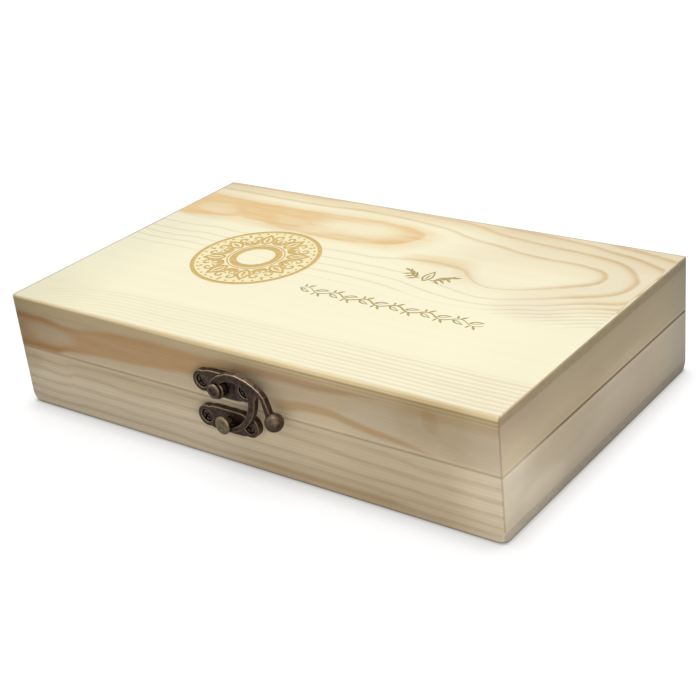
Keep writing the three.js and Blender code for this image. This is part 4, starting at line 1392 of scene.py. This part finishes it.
class COINCASE_OT_hook(bpy.types.Operator):
    """Cast the swing hook with its eye, arm, claw, horn and ball"""
    bl_idname = "coin_case.hook"
    bl_label = "Swing hook"

    # Outlines in millimetres from the pivot, and how far its two faces stand in front of the wood
    arm_outer = [(-3.2, 1.5), (-2.0, 4.0), (1.1, 6.5), (6.1, 8.45), (10.6, 8.7), (15.4, 7.7), (18.9, 6.2),
                 (22.0, 4.25), (23.9, 2.2), (25.1, -1.0), (26.2, -4.9)]
    horn_inner = [(23.8, -5.5), (23.0, -2.0), (22.4, 0.6), (21.6, 1.9), (20.8, 2.1)]
    window = [(15.7, 2.0), (13.3, 4.3), (10.2, 5.4), (5.5, 5.05), (2.6, 3.5), (0.0, 0.0)]
    face_depths = (6.0, 3.3)
    claw_radius, claw_sweep = 16.0, math.radians(-80.2)
    claw_root, claw_tip = 3.4, 1.7
    ball_spot, ball_lift, ball_radius = (27.09, -7.59), 0.35, 3.75
    eye_radius, bore_radius = 3.85, 2.0

    def execute(self, context):
        x, _, z = PIVOTS["hook_swing"]
        front, back = (FRONT_Y - face * MM for face in self.face_depths)
        eye, half = (x, 0.5 * (front + back), z), (back - front) / 2
        steps, rounds = 16, 24
        claw_outer, claw_inner = [], []
        for share in (step / steps for step in range(steps + 1)):
            width = self.claw_root + (self.claw_tip - self.claw_root) * share
            claw_outer.append(polar(0, 0, self.claw_radius + width, self.claw_sweep * share))
            claw_inner.append(polar(0, 0, self.claw_radius, self.claw_sweep * share))
        path = self.arm_outer + self.horn_inner + claw_outer + claw_inner[::-1] + self.window
        ball = [polar(0, 0, self.ball_radius * MM, math.pi * (i / rounds - 0.5)) for i in range(1, rounds)]
        spot = (x + self.ball_spot[0] * MM, eye[1] - self.ball_lift * MM, z + self.ball_spot[1] * MM)
        solids = [
            prism([(x + dx * MM, z + dz * MM) for dx, dz in path], front, back),
            rod(self.eye_radius * MM, -half, half, eye, 0.6 * MM),
            turned(ball, spot),
        ]
        mesh = cast("swing_hook", solids, [rod(self.bore_radius * MM, -5 * MM, 5 * MM, eye)], 7)
        place_piece("swing_hook", mesh, "hook", "antique_bronze", "latch_hook", 80)
        return {"FINISHED"}


class COINCASE_OT_screws(bpy.types.Operator):
    """Make the cross-head screws of the latch and the hinges"""
    bl_idname = "coin_case.screws"
    bl_label = "Screws"

    # Depth of the head, radius of the shank and rise of the dome, in millimetres
    latch_sizes = (1.18, 1.1, 0.3)
    hinge_sizes = (0.78, 0.8, 0.42)
    # How far each screw stands turned in its hole: a first angle, and degrees for each metre of its place
    first_turn, turn_by_place = 20, 1700

    def execute(self, context):
        for node in sorted(frame["nodes"]):
            if "_screw_" in node:
                body = next(name for name, nodes in BODY_NODES.items() if node in nodes)
                place_piece(f"{node}_turned", self.screw(node), body, "antique_bronze", node, 40)
        return {"FINISHED"}

    def screw(self, node):
        low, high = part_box(node)
        x, _, z = node_middle(node)
        on_back = "hinge" in node
        depth, shank, dome = (size * MM for size in (self.hinge_sizes if on_back else self.latch_sizes))
        head, length = (high[2] - low[2]) / 2, high[1] - low[1]
        profile = [(0, 0), (0.5 * head, 0.25 * dome), (0.85 * head, dome),
                   (head, dome + 0.25 * (depth - dome)), (head, depth), (shank, depth + 0.02 * MM),
                   (shank, length - 1.4 * MM), (0, length)]
        piece = scene_object(node, joined([turned(round_profile(profile, 0.12 * MM, 3), ORIGIN, 40)]))
        arm, half, sunk = 0.72 * head, 0.2 * head, 0.85 * MM
        cutters = []
        for across, up in ((arm, half), (half, arm)):
            outline = [(-across, -up), (across, -up), (across, up), (-across, up)]
            cutters.append(cut_away(piece, [prism(outline, -1 * MM, sunk)]))
        mesh = evaluated(piece, cutters)
        turn = Matrix.Rotation(math.radians(self.first_turn + self.turn_by_place * (x + z)), 4, "Y")
        if on_back:
            turn = Matrix.Rotation(math.pi, 4, "Z") @ turn
        mesh.transform(Matrix.Translation((x, high[1] if on_back else low[1], z)) @ turn)
        mesh.name = f"{node}_turned"
        return rub_edges(mesh, SCREW_WEAR_AND_HIGHLIGHT)


class COINCASE_OT_hinges(bpy.types.Operator):
    """Make the two butt hinges on the back: leaves with knuckles, and their pins"""
    bl_idname = "coin_case.hinges"
    bl_label = "Hinges"

    thick, corner = 0.9 * MM, 2.2 * MM
    knuckle, knuckle_gap = 4.3 * MM, 0.3 * MM
    barrel, bore, screw_hole = 1.9 * MM, 1.05 * MM, 1.1 * MM
    # Where the flat leaf starts and its tongues end, above or below the pin
    leaf_start, tongue_end = 2.5 * MM, 5 * MM

    def execute(self, context):
        for side in ("left", "right"):
            for body, rise in (("base", -1), ("lid", 1)):
                self.leaf(side, body, rise)
            self.pin(side)
        return {"FINISHED"}

    def leaf(self, side, body, rise):
        node = f"{side}_hinge_{body}_leaf"
        low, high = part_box(node)
        middle, half = (low[0] + high[0]) / 2, (high[0] - low[0]) / 2
        spot = (middle, *PIVOTS["lid_hinge"][1:])
        near, far = spot[2] + rise * self.leaf_start, (high[2] if rise > 0 else low[2])
        outline = [(middle + half, near)]
        for start, sx in ((0, 1), (math.pi / 2, -1)):
            for step in range(7):
                x, z = polar(0, -self.corner, self.corner, start + math.pi / 2 * step / 6)
                outline.append((middle + sx * (half - self.corner) + x, far + rise * z))
        outline.append((middle - half, near))
        shells = [prism(outline, BACK_Y, BACK_Y + self.thick)]
        inner = self.knuckle + self.knuckle_gap
        spans = [(-self.knuckle, self.knuckle)] if body == "lid" else [(-half, -inner), (inner, half)]
        for start, end in spans:
            x, far_x, z, far_z = middle + start, middle + end, spot[2], spot[2] + rise * self.tongue_end
            tongue = [(x, z), (far_x, z), (far_x, far_z), (x, far_z)]
            shells.append(prism(tongue, BACK_Y, BACK_Y + self.thick))
            shells.append(aside(rod(self.barrel, start, end, ORIGIN, 0.2 * MM, 40), spot))
        cuts = []
        for end in ("a", "b"):
            x, _, z = node_middle(f"{side}_hinge_{body}_screw_{end}")
            cuts.append(rod(self.screw_hole, -3 * MM, 3 * MM, (x, BACK_Y, z)))
        cuts.append(aside(rod(self.bore, -20 * MM, 20 * MM, ORIGIN), spot))
        place_piece(f"{node}_bent", cast(f"{node}_bent", shells, cuts, 3), body, "antique_bronze", node, 60)

    def pin(self, side):
        node = f"{side}_hinge_pin"
        low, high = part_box(node)
        half = (high[0] - low[0]) / 2
        head, shank, cap = 1.38 * MM, 0.75 * MM, 0.5 * MM
        end = [(0, -half), (0.7 * head, 0.1 * MM - half), (head, 0.3 * MM - half), (head, cap - half),
               (shank, cap - half)]
        shell = turned(end + [(radius, -y) for radius, y in end[::-1]], ORIGIN, 32)
        shell = aside(shell, ((low[0] + high[0]) / 2, *PIVOTS["lid_hinge"][1:]))
        mesh = weld(mesh_from(f"{node}_turned", *shell), 1e-8)
        place_piece(f"{node}_turned", rub_edges(mesh, PIN_WEAR_AND_HIGHLIGHT), "base", "antique_bronze", node, 40)


class COINCASE_OT_stage(bpy.types.Operator):
    """Set up the camera, the pale floor, the sky and the lamps"""
    bl_idname = "coin_case.stage"
    bl_label = "Stage"

    floor_reach = 6.0
    fill_spot, fill_aim, fill_size = (0.50, -0.38, 0.20), (0.10, -0.06, 0.025), 0.3

    def execute(self, context):
        stage = settings().stage
        context.scene.view_settings.view_transform = "Standard"
        self.camera(context, stage)
        self.floor(stage)
        self.sky(context, stage)
        self.lamps(stage)
        return {"FINISHED"}

    def camera(self, context, stage):
        lens = bpy.data.cameras.new("Camera")
        lens.sensor_fit, lens.sensor_width = "HORIZONTAL", 36.0
        lens.lens = stage.focal_pixels * lens.sensor_width / PHOTO_SIDE
        lens.clip_start, lens.clip_end = 0.01, 20.0
        a, e = stage.azimuth, stage.elevation
        back = Vector((math.sin(a) * math.cos(e), -math.cos(a) * math.cos(e), math.sin(e)))
        right = Vector((math.cos(a), math.sin(a), 0.0))
        turn = Matrix((right, back.cross(right), back)).transposed() @ Matrix.Rotation(-stage.roll, 3, "Z")
        camera = scene_object("Camera", lens)
        camera.matrix_world = Matrix.Translation(Vector(stage.camera_spot)) @ turn.to_4x4()
        context.scene.camera = camera

    def floor(self, stage):
        f = Finish("Pale floor")
        colour = tuple(stage.floor_colour)
        path = f.node("ShaderNodeLightPath")
        cloud = f.noise(f.x, f.y, scale=0.01)
        shade = f.mix(cloud.ease(-0.3, 0.3), colour, darker(colour, 0.995))
        seen = f.mix(path.outputs["Is Camera Ray"], shade, (stage.floor_seen,) * 3)
        lift = f.math("MULTIPLY", path.outputs["Is Camera Ray"], stage.floor_lift)
        # Painted contact and crease shadows: the camera's white over the floor is dimmed near the case
        for share, reach in ((stage.contact, stage.contact_reach), (stage.crease_shadow, stage.crease_shadow_reach)):
            lift = lift * (f.occlusion(reach, 8) * share + (1.0 - share))
        f.feed(f.shader.inputs["Emission Strength"], lift)
        f.shader.inputs["Emission Color"].default_value = (1.0, 1.0, 1.0, 1.0)
        out = self.floor_reach
        corners = [(-out, -out, 0), (out, -out, 0), (out, out, 0), (-out, out, 0)]
        mesh = mesh_from("Floor", corners, [(0, 1, 2, 3)])
        mesh.materials.append(f.surface(seen, 0.9, specular=0.0))
        floor = scene_object("Floor", mesh)

    def sky(self, context, stage):
        world = bpy.data.worlds.new("Sky")
        world.use_nodes = True
        context.scene.world = world
        tree = world.node_tree
        background = tree.nodes["Background"]
        background.inputs["Color"].default_value = (1.0, 1.0, 1.0, 1.0)
        path = tree.nodes.new("ShaderNodeLightPath")
        seen = tree.nodes.new("ShaderNodeMath")
        seen.operation = "MAXIMUM"
        power = tree.nodes.new("ShaderNodeMapRange")
        power.inputs["To Min"].default_value = stage.sky
        power.inputs["To Max"].default_value = 1.0
        for source, socket in ((path.outputs["Is Camera Ray"], seen.inputs[0]),
                               (path.outputs["Is Glossy Ray"], seen.inputs[1]),
                               (seen.outputs[0], power.inputs["Value"]),
                               (power.outputs[0], background.inputs["Strength"])):
            tree.links.new(source, socket)

    def lamps(self, stage):
        light = bpy.data.lights.new("Main light", "SUN")
        light.energy, light.angle = stage.sun, stage.sun_spread
        lamp = scene_object("Main light", light)
        lamp.rotation_euler = Vector(stage.sun_from).to_track_quat("Z", "Y").to_euler()
        light = bpy.data.lights.new("Fill lamp", "AREA")
        light.shape, light.size, light.energy = "DISK", self.fill_size, stage.fill
        lamp = scene_object("Fill lamp", light)
        lamp.location = self.fill_spot
        aim = Vector(self.fill_spot) - Vector(self.fill_aim)
        lamp.rotation_euler = aim.to_track_quat("Z", "Y").to_euler()
        lamp.visible_camera = False


STEPS = [
    ("stage", COINCASE_OT_stage), ("lid_top", COINCASE_OT_lid_top), ("bottom", COINCASE_OT_bottom),
    ("walls", COINCASE_OT_walls), ("lining", COINCASE_OT_lining), ("plates", COINCASE_OT_plates),
    ("post_and_rivet", COINCASE_OT_post_and_rivet), ("hook", COINCASE_OT_hook),
    ("screws", COINCASE_OT_screws), ("hinges", COINCASE_OT_hinges),
]


class COINCASE_PT_parts(bpy.types.Panel):
    """Lists the steps that dress the case"""
    bl_idname = "COINCASE_PT_parts"
    bl_label = "Coin Case"
    bl_space_type = "VIEW_3D"
    bl_region_type = "UI"
    bl_category = "Coin Case"

    def draw(self, context):
        for _, step in STEPS:
            self.layout.operator(step.bl_idname)


CLASSES = [CaseWoodSettings, CaseOrnamentSettings, CaseMetalSettings, CaseLiningSettings, CaseStageSettings,
           CoinCaseSettings, *(step for _, step in STEPS), COINCASE_PT_parts]


def register():
    for entry in CLASSES:
        bpy.utils.register_class(entry)
    bpy.types.Scene.coin_case = PointerProperty(type=CoinCaseSettings)


def unregister():
    del bpy.types.Scene.coin_case
    for entry in reversed(CLASSES):
        bpy.utils.unregister_class(entry)


def main():
    register()
    for name, _ in STEPS:
        getattr(bpy.ops.coin_case, name)()
    bpy.context.view_layer.update()


if __name__ == "__main__":
    main()
